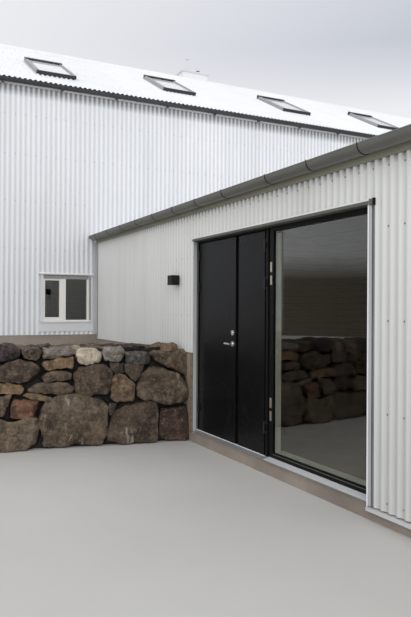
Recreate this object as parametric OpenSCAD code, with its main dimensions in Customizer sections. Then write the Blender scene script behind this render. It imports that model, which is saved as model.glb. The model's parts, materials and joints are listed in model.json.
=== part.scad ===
// House of two wings clad in corrugated metal: a tall wing and a low entry wing set at a
// right angle to it, with a dry-stone retaining wall in the corner beside the doors.
// Lengths are millimetres. The origin is at ground level, under the middle of the plan.
// Each wing is drawn in its own directions: a runs along the wing, b runs inward from the
// front wall's outer plane, z is up.

/* [Tall wing] */
// Length of the tall wing
tall_l = 13200; // [12800:100:15000]
// Width of the tall wing
tall_w = 6200; // [5600:100:7000]
// Height of the tall wing's roof edge
tall_eave_h = 4900; // [4700:25:5400]
// Roof pitch of the tall wing in degrees
tall_pitch = 28; // [24:1:35]
// Height of the tall wing's concrete base
tall_base_h = 1050; // [900:10:1100]
// Height of the upper floor's surface
upper_floor_h = 2850; // [2700:50:3000]

/* [Entry wing] */
// Length of the entry wing, up to the tall wing
entry_l = 9900; // [9600:100:11000]
// Width of the entry wing
entry_w = 5200; // [4800:100:5600]
// Distance from the tall wing's end to the door wall
entry_x = 3360; // [3360:20:3600]
// Height of the entry wing's roof edge
entry_eave_h = 2610; // [2600:10:2700]
// Roof pitch of the entry wing in degrees
entry_pitch = 16; // [12:1:18]
// Height of the concrete under the entry wing's walls
entry_base_h = 105; // [90:5:120]
// Height of the concrete beside the retained ground
stem_h = 980; // [900:10:1000]

/* [Building fabric] */
// Thickness of the framed walls
wall_t = 220; // [160:10:260]
// Thickness of the insulated roof slabs
roof_t = 180; // [140:10:200]
// Thickness of the thin boarding under the roof edge
eave_board_t = 35; // [25:5:40]
// Height of the ground floor's surface
floor_h = 165; // [150:5:180]
// Thickness of the upper floor
upper_floor_t = 200; // [150:10:250]
// Roof overhang at the gable ends
verge = 60; // [40:10:100]

/* [Corrugated sheet] */
// Distance from rib to rib
rib_pitch = 76.2; // [70:0.1:90]
// Depth of a rib
rib_d = 18; // [14:1:22]
// Thickness of the sheet, thicker than the real 0.6
sheet_t = 2; // [2:1:3]

/* [Gutters] */
// Inner radius of the tall wing's gutters
tall_gutter_r = 44; // [40:1:65]
// Inner radius of the entry wing's gutters
entry_gutter_r = 62.5; // [50:2.5:75]
// Wall thickness of the gutters
gutter_t = 3; // [2:1:4]
// Thickness of the gutter brackets
bracket_t = 4; // [3:1:6]
// Bracket spacing on the entry wing
entry_bracket_gap = 590; // [500:10:700]
// Bracket spacing on the tall wing
tall_bracket_gap = 886; // [700:2:1000]

/* [Door set] */
// Near end of the opening in the door wall
opening_a = 3500; // [3400:10:3600]
// Width of the opening
opening_w = 2830; // [2830:10:2900]
// Height of the opening's head
opening_h = 2200; // [2190:5:2250]
// Depth from the cladding to the doors' face
reveal_d = 60; // [55:1:75]
// Thickness of the door leaves
leaf_t = 55; // [45:1:60]
// Width of the active leaf
active_w = 800; // [780:5:820]
// Width of the passive leaf
passive_w = 525; // [500:5:525]
// Gap between the two leaves
meeting_gap = 12; // [10:1:14]
// Height of the hinges' middles above the ground
hinge_z = [400, 1700, 2040];

/* [Roof windows] */
// Left edges of the roof windows along the tall wing
skylight_a = [2495, 4860, 7420, 9800];
// Distances up the slope of the roof windows' lower edges
skylight_s = [650, 1120, 1070, 1000];
// Width of a roof window
skylight_w = 640; // [550:10:780]
// Length of a roof window up the slope
skylight_l = 1180; // [980:10:1400]
// Height of a roof window above the roof slab
skylight_h = 72; // [60:2:130]

/* [Small windows] */
// Distance of the small windows from the tall wing's ends
small_win_a = 2480; // [2400:10:2560]
// Width of a small window's opening
small_win_w = 790; // [700:10:850]
// Sill height of the small windows
small_win_z = 1225; // [1200:5:1300]
// Height of a small window's opening
small_win_h = 755; // [700:5:800]

/* [Retaining wall] */
// Distance from the near gable to the stone wall's face at the door wall
stone_y = 6450; // [6440:10:6600]
// Angle of the stone wall to the tall wing in degrees
stone_turn = 8.5; // [5:0.5:12]
// Thickness of the stone wall at its foot
stone_t = 800; // [600:50:1000]
// Height of the stone wall
stone_h = 1030; // [900:10:1100]
// Set-back of the stone wall's face at its top
stone_batter = 110; // [50:10:160]

/* [Hidden] */

roof_white = [0.95, 0.95, 0.96];
tall_white = [0.90, 0.91, 0.93];
entry_grey = [0.77, 0.78, 0.78];
trim_white = [0.82, 0.83, 0.84];
gutter_grey = [0.33, 0.34, 0.32];
near_black = [0.07, 0.07, 0.08];
glass_dark = [0.35, 0.38, 0.38];
concrete_grey = [0.60, 0.57, 0.53];
timber_tan = [0.72, 0.60, 0.45];
steel_grey = [0.70, 0.70, 0.70];
stone_brown = [0.36, 0.31, 0.27];

// Overlap used only where a cut passes through a face
cut = 5;
// Depth of the whole cladding zone in front of the walls
skin = rib_d + sheet_t;
// Gap that keeps pieces laid on a slope from cutting into each other
seat = 0.05;
// Thickness of fascias and flashings
fascia_t = 20;
flash_t = 2;
gutter_out = fascia_t + 2 * (bracket_t + gutter_t + tall_gutter_r);

// A wing is its length, width, roof edge height, pitch and roof overhang
tall = [tall_l, tall_w, tall_eave_h, tall_pitch, 108];
entry = [entry_l, entry_w, entry_eave_h, entry_pitch, 110];
function len_of(w) = w[0];
function width_of(w) = w[1];
function eave_of(w) = w[2];
function pitch_of(w) = w[3];
function overhang_of(w) = w[4];

origin_x = tall_l / 2;
origin_y = (entry_l + tall_w + gutter_out - verge - flash_t) / 2;

// Height of the roof sheet's crests, the slab's top and its underside, b inward of the wall
function inward(w, b) = width_of(w) / 2 - abs(b - width_of(w) / 2);
function crest_z(w, b) = eave_of(w) + (inward(w, b) + overhang_of(w)) * tan(pitch_of(w));
function slab_z(w, b) = crest_z(w, b) - skin / cos(pitch_of(w));
function under_z(w, b) = slab_z(w, b) - roof_t / cos(pitch_of(w));
function board_z(w, b) = slab_z(w, b) - eave_board_t / cos(pitch_of(w));
function slope_l(w) = (width_of(w) / 2 + overhang_of(w)) / cos(pitch_of(w));
tall_wall_top = under_z(tall, skin);
entry_wall_top = under_z(entry, skin);

// Places on the door wall, along the entry wing
opening_end = opening_a + opening_w;
jamb_gap = 40;
active_a1 = opening_end - jamb_gap;
active_a0 = active_a1 - active_w;
passive_a1 = active_a0 - meeting_gap;
passive_a0 = passive_a1 - passive_w;
sill_foot_z = entry_base_h + 21;
step_z = floor_h - 22;
leaf_z0 = step_z + 7;
leaf_z1 = opening_h - 30;
frame_b0 = reveal_d + leaf_t + 5;
frame_d = 60;
hinge_r = 9;
hinge_pin_r = 4;
hinge_b = reveal_d - hinge_r;
active_hinge_a = active_a1 + 7;
passive_hinge_a = passive_a0 - 10;
post_a1 = passive_hinge_a - 10;
post_a0 = post_a1 - 73;
groove_w = 36;
groove_d = 12;
rail_h = 46;
head_h = 44;
near_stile_w = 68;
far_stile_w = 50;
lining_b1 = reveal_d + 100;
board_b1 = reveal_d + 145;

// Doorway between the wings, in the tall wing's front wall
inner_door_w = 1200;
inner_door_h = 2250;
inner_door_a = entry_x + entry_w / 2 - inner_door_w / 2;

module site() translate([-origin_x, -origin_y, 0]) children();
module on_tall() site() translate([0, entry_l, 0]) children();
module on_entry() site() translate([entry_x, 0, 0]) mirror([1, -1, 0]) children();
module block(lo, hi) translate(lo) cube(hi - lo);
// The other long side of a wing, as a mirror image about its ridge
module far_side(w) translate([0, width_of(w), 0]) mirror([0, 1, 0]) children();
module far_end(w) translate([len_of(w), 0, 0]) mirror([1, 0, 0]) children();
// A profile drawn in b and z, run along a
module along(l) rotate([90, 0, 90]) linear_extrude(l) children();
// Places a piece on the roof slope: x along the wing, y up the slope, z outward
module on_slope(w, a, s) {
    p = pitch_of(w);
    translate([a, -overhang_of(w) + s * cos(p), slab_z(w, -overhang_of(w)) + s * sin(p)])
        rotate([p, 0, 0]) children();
}

// Corrugated sheet: each rib is a slope, a flat crest and a slope, between flat valleys
function rib_points(x) = [[x + rib_pitch / 8, -sheet_t], [x + rib_pitch * 3 / 8, -skin],
    [x + rib_pitch * 5 / 8, -skin], [x + rib_pitch * 7 / 8, -sheet_t]];
module sheet_profile(l) polygon([[0, 0], [0, -sheet_t],
    for (i = [0:floor(l / rib_pitch) - 1]) each rib_points(i * rib_pitch),
    [l, -sheet_t], [l, 0]]);
module wall_sheet(a0, a1, z0, z1)
    translate([a0, skin, z0]) linear_extrude(z1 - z0) sheet_profile(a1 - a0);
module roof_sheet(w, a0, a1) {
    p = pitch_of(w);
    translate([a0, -overhang_of(w), slab_z(w, -overhang_of(w)) + seat])
        rotate([p - 90, 0, 0]) linear_extrude(slope_l(w)) sheet_profile(a1 - a0);
}

// A gable between its inset ends, with its top seated under the roof slab
module gable_outline(w, z0, inset) {
    half = width_of(w) / 2;
    side_z = under_z(w, inset) - seat;
    polygon([[inset, z0], [width_of(w) - inset, z0], [width_of(w) - inset, side_z],
        [half, under_z(w, half) - seat], [inset, side_z]]);
}

// Roof slab with a thin boarded edge past the wall
module slope_slab(w, a0, a1) {
    half = width_of(w) / 2;
    edge = -fascia_t;
    translate([a0, 0, 0]) along(a1 - a0) polygon([[edge, board_z(w, edge)],
        [skin, board_z(w, skin)], [skin, under_z(w, skin)], [half, under_z(w, half)],
        [half, slab_z(w, half)], [edge, slab_z(w, edge)]]);
}

// Half-round gutter with end caps and brackets round it
module half_ring(r0, r1) difference() {
    circle(r1, $fn = 48);
    circle(r0, $fn = 48);
    translate([-r1 - 1, 0]) square([2 * r1 + 2, r1 + 1]);
}
module half_disc(r) difference() {
    circle(r, $fn = 48);
    translate([-r - 1, 0]) square([2 * r + 2, r + 1]);
}
module gutter(l, r, lip_z, first, gap) {
    r1 = r + gutter_t;
    translate([0, -fascia_t - bracket_t - r1, lip_z]) {
        along(l) half_ring(r, r1);
        for (a = [0, l - gutter_t]) translate([a, 0, 0]) along(gutter_t) half_disc(r1);
        for (a = [first:gap:l - 40]) translate([a, 0, 0]) along(25) {
            half_ring(r1 - 1, r1 + bracket_t);
            translate([r1, -10]) square([bracket_t, 30]);
        }
    }
}

// Small windows: frame, mullion, panes and flashings, in an opening's own corner
small_frame_w = 710;
small_frame_h = 690;
small_frame_z = 35;
small_frame_b0 = 22;
small_frame_b1 = 100;
small_stile = 25;
small_rail = 19;
mullion_a = 277;
mullion_w = 72;
sash_b0 = 30;
sash_stile = 26;
sash_rail = 60;
// The opening sash's light and the fixed light, from b0 to b1
module sash_light(b0, b1) block([small_stile + 6, b0, sash_rail],
    [mullion_a - sash_stile, b1, small_frame_h - sash_rail]);
module fixed_light(b0, b1) block([mullion_a + mullion_w, b0, small_rail],
    [small_frame_w - small_stile, b1, small_frame_h - small_rail]);
module small_frame() translate([(small_win_w - small_frame_w) / 2, 0, small_frame_z]) difference() {
    block([0, small_frame_b0, 0], [small_frame_w, small_frame_b1, small_frame_h]);
    block([small_stile, 0, small_rail], [mullion_a, sash_b0, small_frame_h - small_rail]);
    sash_light(0, small_frame_b1 + cut);
    fixed_light(0, small_frame_b1 + cut);
}
module small_panes() translate([(small_win_w - small_frame_w) / 2, 0, small_frame_z]) {
    sash_light(50, 70);
    fixed_light(50, 70);
}
hood_over = 40;
apron_h = 125;
module small_flashing() {
    side = (small_win_w - small_frame_w) / 2;
    top = small_win_h - flash_t;
    block([0, 0, top], [small_win_w, small_frame_b1, small_win_h]);
    block([side, small_frame_b0 + 8, small_frame_z + small_frame_h], [small_win_w - side, small_frame_b1, top]);
    translate([-hood_over, 0, 0]) along(small_win_w + 2 * hood_over)
        polygon([[-30, small_win_h - 2], [0, small_win_h - 2], [0, small_win_h + 24],
            [-flash_t, small_win_h + 24], [-30, small_win_h + 14]]);
    for (a = [0, small_win_w - side]) block([a, 0, small_frame_z], [a + side, small_frame_b1, top]);
    along(small_win_w) polygon([[-22, 14], [-22, 22], [small_frame_b0, small_frame_z],
        [small_frame_b1, small_frame_z], [small_frame_b1, 0], [0, 0], [0, 14]]);
    block([-hood_over, -flash_t, -apron_h], [small_win_w + hood_over, 0, 14]);
}
// Cuts the openings of the small windows that stand z0 above a wing's ground
module small_openings(places) for (a = places)
    block([a, -cut, small_win_z], [a + small_win_w, wall_t + skin + cut, small_win_z + small_win_h]);
tall_window_places = [small_win_a, tall_l - small_win_a - small_win_w];
entry_window_places = [2200, 6600];
module at_small_windows() {
    for (a = tall_window_places) on_tall() translate([a, 0, small_win_z]) children();
    for (a = tall_window_places) on_tall() far_side(tall) translate([a, 0, small_win_z]) children();
    for (a = entry_window_places) on_entry() far_side(entry) translate([a, 0, small_win_z]) children();
}

// Tall wing
module tall_plinth() color(concrete_grey) on_tall() difference() {
    block([skin, skin, 0], [tall_l - skin, tall_w - skin, tall_base_h]);
    block([skin + wall_t, skin + wall_t, -cut],
        [tall_l - skin - wall_t, tall_w - skin - wall_t, tall_base_h + cut]);
    block([inner_door_a, 0, floor_h], [inner_door_a + inner_door_w, wall_t + skin + cut, tall_base_h + cut]);
}
module tall_floor() color(concrete_grey) on_tall()
    block([skin + wall_t, skin + wall_t, 0], [tall_l - skin - wall_t, tall_w - skin - wall_t, floor_h]);
module upper_floor() color(timber_tan) on_tall()
    block([skin + wall_t, skin + wall_t, upper_floor_h - upper_floor_t],
        [tall_l - skin - wall_t, tall_w - skin - wall_t, upper_floor_h]);
module tall_long_wall(a0, a1) difference() {
    block([a0, skin, tall_base_h], [a1, skin + wall_t, tall_wall_top]);
    small_openings(tall_window_places);
}
module tall_front_wall_left() color(timber_tan) on_tall() tall_long_wall(skin, inner_door_a);
module tall_front_wall_right() color(timber_tan) on_tall()
    tall_long_wall(inner_door_a + inner_door_w, tall_l - skin);
module tall_front_lintel() color(timber_tan) on_tall()
    block([inner_door_a, skin, inner_door_h], [inner_door_a + inner_door_w, skin + wall_t, tall_wall_top]);
module tall_back_wall() color(timber_tan) on_tall() far_side(tall)
    tall_long_wall(skin, tall_l - skin);
module tall_gable() translate([skin, 0, 0]) along(wall_t)
    gable_outline(tall, tall_base_h, skin + wall_t);
module tall_left_gable() color(timber_tan) on_tall() tall_gable();
module tall_right_gable() color(timber_tan) on_tall() far_end(tall) tall_gable();

// Outline of the entry wing where it meets the tall wing, in the tall wing's a and z
module entry_shadow() {
    out = overhang_of(entry) + skin;
    translate([entry_x, 0]) polygon([[0, 0], [entry_w, 0], [entry_w, fascia_z],
        [entry_w + out, fascia_z], [entry_w + out, crest_z(entry, -out)],
        [entry_w / 2, crest_z(entry, entry_w / 2)], [-out, crest_z(entry, -out)],
        [-out, fascia_z], [0, fascia_z]]);
}
module tall_front_cladding() color(tall_white) on_tall() difference() {
    wall_sheet(skin, tall_l - skin, tall_base_h, board_z(tall, 0));
    small_openings(tall_window_places);
    translate([0, skin + cut, 0]) rotate([90, 0, 0]) linear_extrude(skin + 2 * cut) entry_shadow();
}
module tall_back_cladding() color(tall_white) on_tall() far_side(tall) difference() {
    wall_sheet(skin, tall_l - skin, tall_base_h, board_z(tall, 0));
    small_openings(tall_window_places);
}
// Gable sheet: ribs upright, top cut to the roof
module gable_sheet(w, z0) intersection() {
    mirror([1, -1, 0]) wall_sheet(0, width_of(w), z0, under_z(w, width_of(w) / 2));
    translate([-cut, 0, 0]) along(skin + 2 * cut) gable_outline(w, z0, 0);
}
module tall_gable_cladding() color(tall_white) on_tall() {
    gable_sheet(tall, tall_base_h);
    far_end(tall) gable_sheet(tall, tall_base_h);
}

// Cuts through the roof at the roof windows, from the slab's underside outward
module skylight_cut(margin, n0) for (i = [0:len(skylight_a) - 1])
    on_slope(tall, skylight_a[i], skylight_s[i])
        block([margin, margin, n0], [skylight_w - margin, skylight_l - margin, skylight_h]);
// Chimney on the back slope, close behind the ridge
chimney_a = 6333;
chimney_w = 620;
chimney_d = 450;
chimney_b0 = tall_w / 2 + 190;
chimney_b1 = chimney_b0 + chimney_d;
chimney_top = crest_z(tall, tall_w / 2) + 205;
module chimney_cut() block([chimney_a, chimney_b0, tall_eave_h],
    [chimney_a + chimney_w, chimney_b1, chimney_top]);
module tall_slope() difference() {
    slope_slab(tall, -verge, tall_l + verge);
    skylight_cut(skylight_bar, -2 * roof_t);
}
module tall_roof_front() color(timber_tan) on_tall() tall_slope();
module tall_roof_back() color(timber_tan) on_tall() far_side(tall) tall_slope();
module tall_slope_sheet() difference() {
    roof_sheet(tall, -verge, tall_l + verge);
    skylight_cut(0, -cut);
}
module tall_sheet_front() color(roof_white) on_tall() tall_slope_sheet();
// Vent pipe by the ridge, cut at its foot to the back slope
vent_a = 12100;
vent_back = 210;
vent_r = 45;
module vent_pipe(r) translate([vent_a, tall_w / 2 + vent_back, slab_z(tall, tall_w / 2 + vent_back) - 60])
    cylinder(r = r, h = 200, $fn = 32);
module tall_sheet_back() color(roof_white) on_tall() difference() {
    far_side(tall) tall_slope_sheet();
    chimney_cut();
    vent_pipe(vent_r + 1);
}
tall_lip_z = 4866;
tall_fascia_z = 4840;
module tall_gutters() color(near_black) on_tall() {
    translate([-verge, 0, 0]) gutter(tall_l + 2 * verge, tall_gutter_r, tall_lip_z, 220, tall_bracket_gap);
    far_side(tall) translate([-verge, 0, 0])
        gutter(tall_l + 2 * verge, tall_gutter_r, tall_lip_z, 220, tall_bracket_gap);
}
skylight_bar = 46;
module skylight_light(n0, n1) block([skylight_bar, skylight_bar, n0],
    [skylight_w - skylight_bar, skylight_l - skylight_bar, n1]);
module skylight_frame() difference() {
    block([0, 0, seat], [skylight_w, skylight_l, skylight_h]);
    skylight_light(-cut, skylight_h + cut);
}
module each_skylight() for (i = [0:len(skylight_a) - 1])
    on_slope(tall, skylight_a[i], skylight_s[i]) children();
module skylight_frames() color(gutter_grey) on_tall() {
    each_skylight() skylight_frame();
    far_side(tall) each_skylight() skylight_frame();
}
module skylight_panes() color(glass_dark) on_tall() {
    each_skylight() skylight_light(skylight_h - 38, skylight_h - 14);
    far_side(tall) each_skylight() skylight_light(skylight_h - 38, skylight_h - 14);
}
module chimney_stack() color(trim_white) on_tall() translate([chimney_a, 0, 0]) along(chimney_w)
    polygon([[chimney_b0, slab_z(tall, chimney_b0) + seat], [chimney_b1, slab_z(tall, chimney_b1) + seat],
        [chimney_b1, chimney_top], [chimney_b0, chimney_top]]);
cap_t = 35;
cap_over = 30;
module chimney_cap() color(steel_grey) on_tall()
    block([chimney_a - cap_over, chimney_b0 - cap_over, chimney_top],
        [chimney_a + chimney_w + cap_over, chimney_b1 + cap_over, chimney_top + cap_t]);
// A slim vent pipe under a flat disc, and a short flue under a round cowl
pipe_a = 214;
pipe_h = 340;
flue_a = 482;
flue_h = 110;
module chimney_flues() color(steel_grey) on_tall()
    translate([chimney_a, (chimney_b0 + chimney_b1) / 2, chimney_top + cap_t]) {
        translate([pipe_a, 0, 0]) cylinder(r = 20, h = pipe_h, $fn = 32);
        translate([pipe_a, 0, pipe_h]) cylinder(r = 44, h = 12, $fn = 32);
        translate([flue_a, 0, 0]) cylinder(r = 34, h = flue_h, $fn = 32);
        translate([flue_a, 0, flue_h]) cylinder(r = 46, h = 80, $fn = 32);
    }
module ridge_vent() color(steel_grey) on_tall() difference() {
    vent_pipe(vent_r);
    far_side(tall) slope_slab(tall, vent_a - 2 * vent_r, vent_a + 2 * vent_r);
}

// Entry wing
module entry_plinth() color(concrete_grey) on_entry() {
    difference() {
        block([skin, skin, 0], [entry_l + skin, entry_w - skin, entry_base_h]);
        block([skin + wall_t, skin + wall_t, -cut],
            [entry_l + skin + cut, entry_w - skin - wall_t, entry_base_h + cut]);
    }
    block([opening_a + flash_t, skin, 0], [opening_end - flash_t, skin + wall_t, sill_foot_z]);
}
module stem_wall() color(concrete_grey) on_entry()
    block([opening_end, skin, entry_base_h], [entry_l + skin, skin + wall_t, stem_h]);
module entry_floor() color(concrete_grey) on_entry()
    block([skin + wall_t, skin + wall_t, 0], [entry_l + skin, entry_w - skin - wall_t, floor_h]);
module entry_wall_near() color(timber_tan) on_entry()
    block([skin, skin, entry_base_h], [opening_a, skin + wall_t, entry_wall_top]);
module entry_wall_far() color(timber_tan) on_entry()
    block([opening_end, skin, stem_h], [entry_l + skin, skin + wall_t, entry_wall_top]);
module entry_lintel() color(timber_tan) on_entry()
    block([opening_a, skin, opening_h], [opening_end, skin + wall_t, entry_wall_top]);
module entry_back_wall() color(timber_tan) on_entry() far_side(entry) difference() {
    block([skin, skin, entry_base_h], [entry_l + skin, skin + wall_t, entry_wall_top]);
    small_openings(entry_window_places);
}
module entry_gable_wall() color(timber_tan) on_entry() translate([skin, 0, 0]) along(wall_t)
    gable_outline(entry, entry_base_h, skin + wall_t);
trim_w = 42;
channel_w = 30;
head_out = 15;
head_lip = 14;
drip_z = entry_base_h - 12;
drip_h = 24;
cladding_a1 = opening_a - trim_w - channel_w;
fascia_z = 2495;
cladding_foot_z = stem_h + 20;
module entry_front_cladding() color(entry_grey) on_entry() {
    wall_sheet(skin, cladding_a1, entry_base_h, fascia_z + 5);
    wall_sheet(cladding_a1, opening_end, opening_h, fascia_z + 5);
    wall_sheet(opening_end, entry_l, cladding_foot_z, fascia_z + 5);
}
module entry_back_cladding() color(entry_grey) on_entry() far_side(entry) difference() {
    wall_sheet(skin, entry_l, entry_base_h, fascia_z + 5);
    small_openings(entry_window_places);
}
module entry_gable_cladding() color(entry_grey) on_entry() gable_sheet(entry, entry_base_h);
module entry_roof_front() color(timber_tan) on_entry() slope_slab(entry, -verge, entry_l + skin);
module entry_roof_back() color(timber_tan) on_entry() far_side(entry)
    slope_slab(entry, -verge, entry_l + skin);
module entry_sheet_front() color(roof_white) on_entry() roof_sheet(entry, -verge, entry_l + rib_d);
module entry_sheet_back() color(roof_white) on_entry() far_side(entry)
    roof_sheet(entry, -verge, entry_l + rib_d);
entry_lip_z = 2590;
// The gutter ends this far before the tall wing
gutter_stop = 100;
module entry_gutters() color(gutter_grey) on_entry() {
    l = entry_l + verge - gutter_stop;
    translate([-verge, 0, 0]) gutter(l, entry_gutter_r, entry_lip_z, 300, entry_bracket_gap);
    far_side(entry) translate([-verge, 0, 0]) gutter(l, entry_gutter_r, entry_lip_z, 300, entry_bracket_gap);
}

// Flashings and trims
cap_w = 170;
module ridge_cap(w, a0, a1) {
    half = width_of(w) / 2;
    side = cap_w * cos(pitch_of(w));
    translate([a0, 0, 2 * seat]) along(a1 - a0) polygon([
        [half - side, crest_z(w, half - side)], [half, crest_z(w, half)],
        [half + side, crest_z(w, half + side)], [half + side, crest_z(w, half + side) + 5],
        [half, crest_z(w, half) + 6], [half - side, crest_z(w, half - side) + 5]]);
}
module ridge_caps() color(roof_white) {
    on_tall() ridge_cap(tall, -verge, tall_l + verge);
    on_entry() ridge_cap(entry, -verge, entry_l);
}
verge_h = 140;
module verge_plate(w) {
    half = width_of(w) / 2;
    edge = -overhang_of(w);
    translate([-verge - flash_t - seat, 0, 0]) along(flash_t) polygon([[edge, crest_z(w, edge) - 60],
        [edge + 150, crest_z(w, edge + 150) - verge_h], [half, crest_z(w, half) - verge_h],
        [width_of(w) - edge - 150, crest_z(w, edge + 150) - verge_h],
        [width_of(w) - edge, crest_z(w, edge) - 60], [width_of(w) - edge, crest_z(w, edge)],
        [half, crest_z(w, half)], [edge, crest_z(w, edge)]]);
}
module verge_flashings() color(roof_white) {
    on_tall() verge_plate(tall);
    on_tall() far_end(tall) verge_plate(tall);
    on_entry() verge_plate(entry);
}
module fascia(w, a0, a1, z0) {
    block([a0, -fascia_t, z0], [a1, 0, board_z(w, -fascia_t)]);
    far_side(w) block([a0, -fascia_t, z0], [a1, 0, board_z(w, -fascia_t)]);
}
module fascia_boards() color(entry_grey) {
    on_entry() fascia(entry, -verge, entry_l, fascia_z);
    on_tall() fascia(tall, -verge, tall_l + verge, tall_fascia_z);
}
corner_w = 60;
// Outside corner: one leg up to the fascia, the other up to the roof slab
module corner_angle(z0, z1, side_z1) {
    block([-flash_t, -flash_t, z0], [corner_w, 0, min(z1, side_z1)]);
    block([0, -flash_t, z0], [corner_w, 0, z1]);
    block([-flash_t, 0, z0], [0, corner_w, side_z1]);
}
// Inside corner between the door wall and the tall wing
inner_leg = 40;
module inner_corner() {
    block([entry_l - inner_leg, -flash_t, cladding_foot_z], [entry_l, 0, fascia_z]);
    block([entry_l - flash_t, -inner_leg, tall_base_h], [entry_l, -flash_t, fascia_z]);
}
module corner_flashings() color(trim_white) {
    for (end = [0, 1], side = [0, 1]) on_tall() translate([end * tall_l, side * tall_w, 0])
        mirror([end, 0, 0]) mirror([0, side, 0]) corner_angle(tall_base_h, tall_fascia_z, tall_wall_top);
    for (side = [0, 1]) on_entry() translate([0, side * entry_w, 0])
        mirror([0, side, 0]) corner_angle(entry_base_h, fascia_z, entry_wall_top);
    on_entry() inner_corner();
}
module opening_flashings() color(trim_white) on_entry() {
    block([opening_end - flash_t, 0, entry_base_h], [opening_end, reveal_d, opening_h]);
    block([opening_a, -flash_t, entry_base_h], [opening_a + flash_t, reveal_d, opening_h]);
    block([opening_a - trim_w, -flash_t, entry_base_h], [opening_a, 0, opening_h + 20]);
    block([opening_a - trim_w - channel_w, 16, entry_base_h], [opening_a, 18, opening_h]);
    block([opening_a - trim_w, -head_out, opening_h - flash_t], [opening_a, -flash_t, opening_h]);
    block([opening_a, -head_out, opening_h - flash_t], [opening_end, reveal_d, opening_h]);
    block([opening_a - trim_w, -head_out, opening_h], [opening_end, flash_t - head_out, opening_h + head_lip]);
    block([skin, -12, drip_z - flash_t], [opening_a, skin, drip_z]);
    block([skin, -12, drip_z - drip_h], [opening_a, -10, drip_z - flash_t]);
}
module small_window_frames() color(roof_white) at_small_windows() small_frame();
module small_window_panes() color(glass_dark) at_small_windows() small_panes();
module small_window_flashings() color(trim_white) at_small_windows() small_flashing();

// Door set
module door_frame() color(near_black) on_entry() {
    z0 = floor_h;
    z1 = opening_h - flash_t;
    jamb = opening_end - flash_t;
    block([jamb - 60, frame_b0, z0], [jamb, frame_b0 + frame_d, z1]);
    block([post_a0 + groove_w, reveal_d, step_z], [post_a1, frame_b0, z1]);
    block([post_a0, reveal_d + groove_d, step_z], [post_a0 + groove_w, frame_b0, z1]);
    block([post_a0, frame_b0, z0], [post_a1, frame_b0 + frame_d, z1]);
    block([post_a1, frame_b0, z0], [post_a1 + 42, frame_b0 + frame_d, z1]);
    block([post_a1, frame_b0, leaf_z1 - 20], [jamb, frame_b0 + frame_d, z1]);
    block([post_a1, reveal_d, leaf_z1 + 10], [jamb, frame_b0 + frame_d, z1]);
    block([jamb - flash_t, reveal_d, step_z], [jamb, frame_b0, leaf_z1 + 10]);
}
knuckle_h = 22;
leaf_knuckle_h = 60;
// The half of each hinge that stays on the frame: two knuckles on one pin
module frame_knuckles(arm) for (z = hinge_z) translate([0, 0, z]) {
    cylinder(r = hinge_pin_r, h = leaf_knuckle_h + 2 * knuckle_h, center = true, $fn = 24);
    for (side = [-1, 1]) translate([0, 0, side * (leaf_knuckle_h / 2 + 3 + knuckle_h / 2)]) {
        cylinder(r = hinge_r, h = knuckle_h, center = true, $fn = 24);
        translate([0, 0, -knuckle_h / 2]) linear_extrude(knuckle_h) polygon(arm);
    }
}
module door_hinge_pins() color(near_black) on_entry() {
    translate([active_hinge_a, hinge_b, 0]) frame_knuckles([[3, 0], [8, 0],
        [8, frame_b0 - hinge_b], [3, frame_b0 - hinge_b]]);
    translate([passive_hinge_a, hinge_b, 0]) frame_knuckles([[-38, 5], [0, 5], [0, 9], [-38, 9]]);
}
module leaf_knuckles(side) for (z = hinge_z) translate([0, 0, z - leaf_knuckle_h / 2])
    linear_extrude(leaf_knuckle_h) difference() {
        union() {
            circle(hinge_r, $fn = 24);
            translate([side > 0 ? 0 : -42, 5]) square([42, hinge_r - 5]);
        }
        circle(hinge_pin_r + 1, $fn = 24);
    }
module active_leaf() color(near_black) on_entry() {
    block([active_a0, reveal_d, leaf_z0], [active_a1, reveal_d + leaf_t, leaf_z1]);
    translate([active_hinge_a, hinge_b, 0]) leaf_knuckles(-1);
}
margin_w = 48;
margin_d = 20;
module passive_leaf() color(near_black) on_entry() {
    block([passive_a0, reveal_d, leaf_z0], [passive_a1 - margin_w, reveal_d + leaf_t, leaf_z1]);
    block([passive_a1 - margin_w, reveal_d + margin_d, leaf_z0],
        [passive_a1, reveal_d + leaf_t, leaf_z1]);
    translate([passive_hinge_a, hinge_b, 0]) leaf_knuckles(1);
}
handle_a = active_a0 + 52;
handle_z = 1120;
lock_z = 1230;
lever_l = 108;
module handle_side() {
    for (z = [handle_z, lock_z]) translate([0, 0, z]) rotate([90, 0, 0]) cylinder(r = 26, h = 8, $fn = 32);
    translate([0, 0, lock_z]) rotate([90, 0, 0]) cylinder(r = 13, h = 14, $fn = 32);
    translate([0, 0, handle_z]) rotate([90, 0, 0]) cylinder(r = 10, h = 52, $fn = 32);
    translate([-10, -43, handle_z]) rotate([0, 90, 0]) cylinder(r = 9, h = lever_l, $fn = 32);
}
module door_handles() color(steel_grey) on_entry() {
    translate([handle_a, reveal_d, 0]) handle_side();
    translate([handle_a, reveal_d + leaf_t, 0]) mirror([0, 1, 0]) handle_side();
}
module threshold() color(steel_grey) on_entry() {
    translate([post_a0, 0, 0]) along(opening_end - flash_t - post_a0) polygon([[2, sill_foot_z],
        [wall_t + skin, sill_foot_z], [wall_t + skin, floor_h], [frame_b0, floor_h], [frame_b0, step_z],
        [reveal_d - 8, step_z], [reveal_d - 14, step_z - 5], [2, sill_foot_z + 5]]);
    translate([window_a0, 0, 0]) along(post_a0 - window_a0) polygon([[-8, sill_foot_z],
        [sill_b1, sill_foot_z], [sill_b1, sill_z], [reveal_d, sill_z], [-8, sill_foot_z + 8]]);
}

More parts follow.
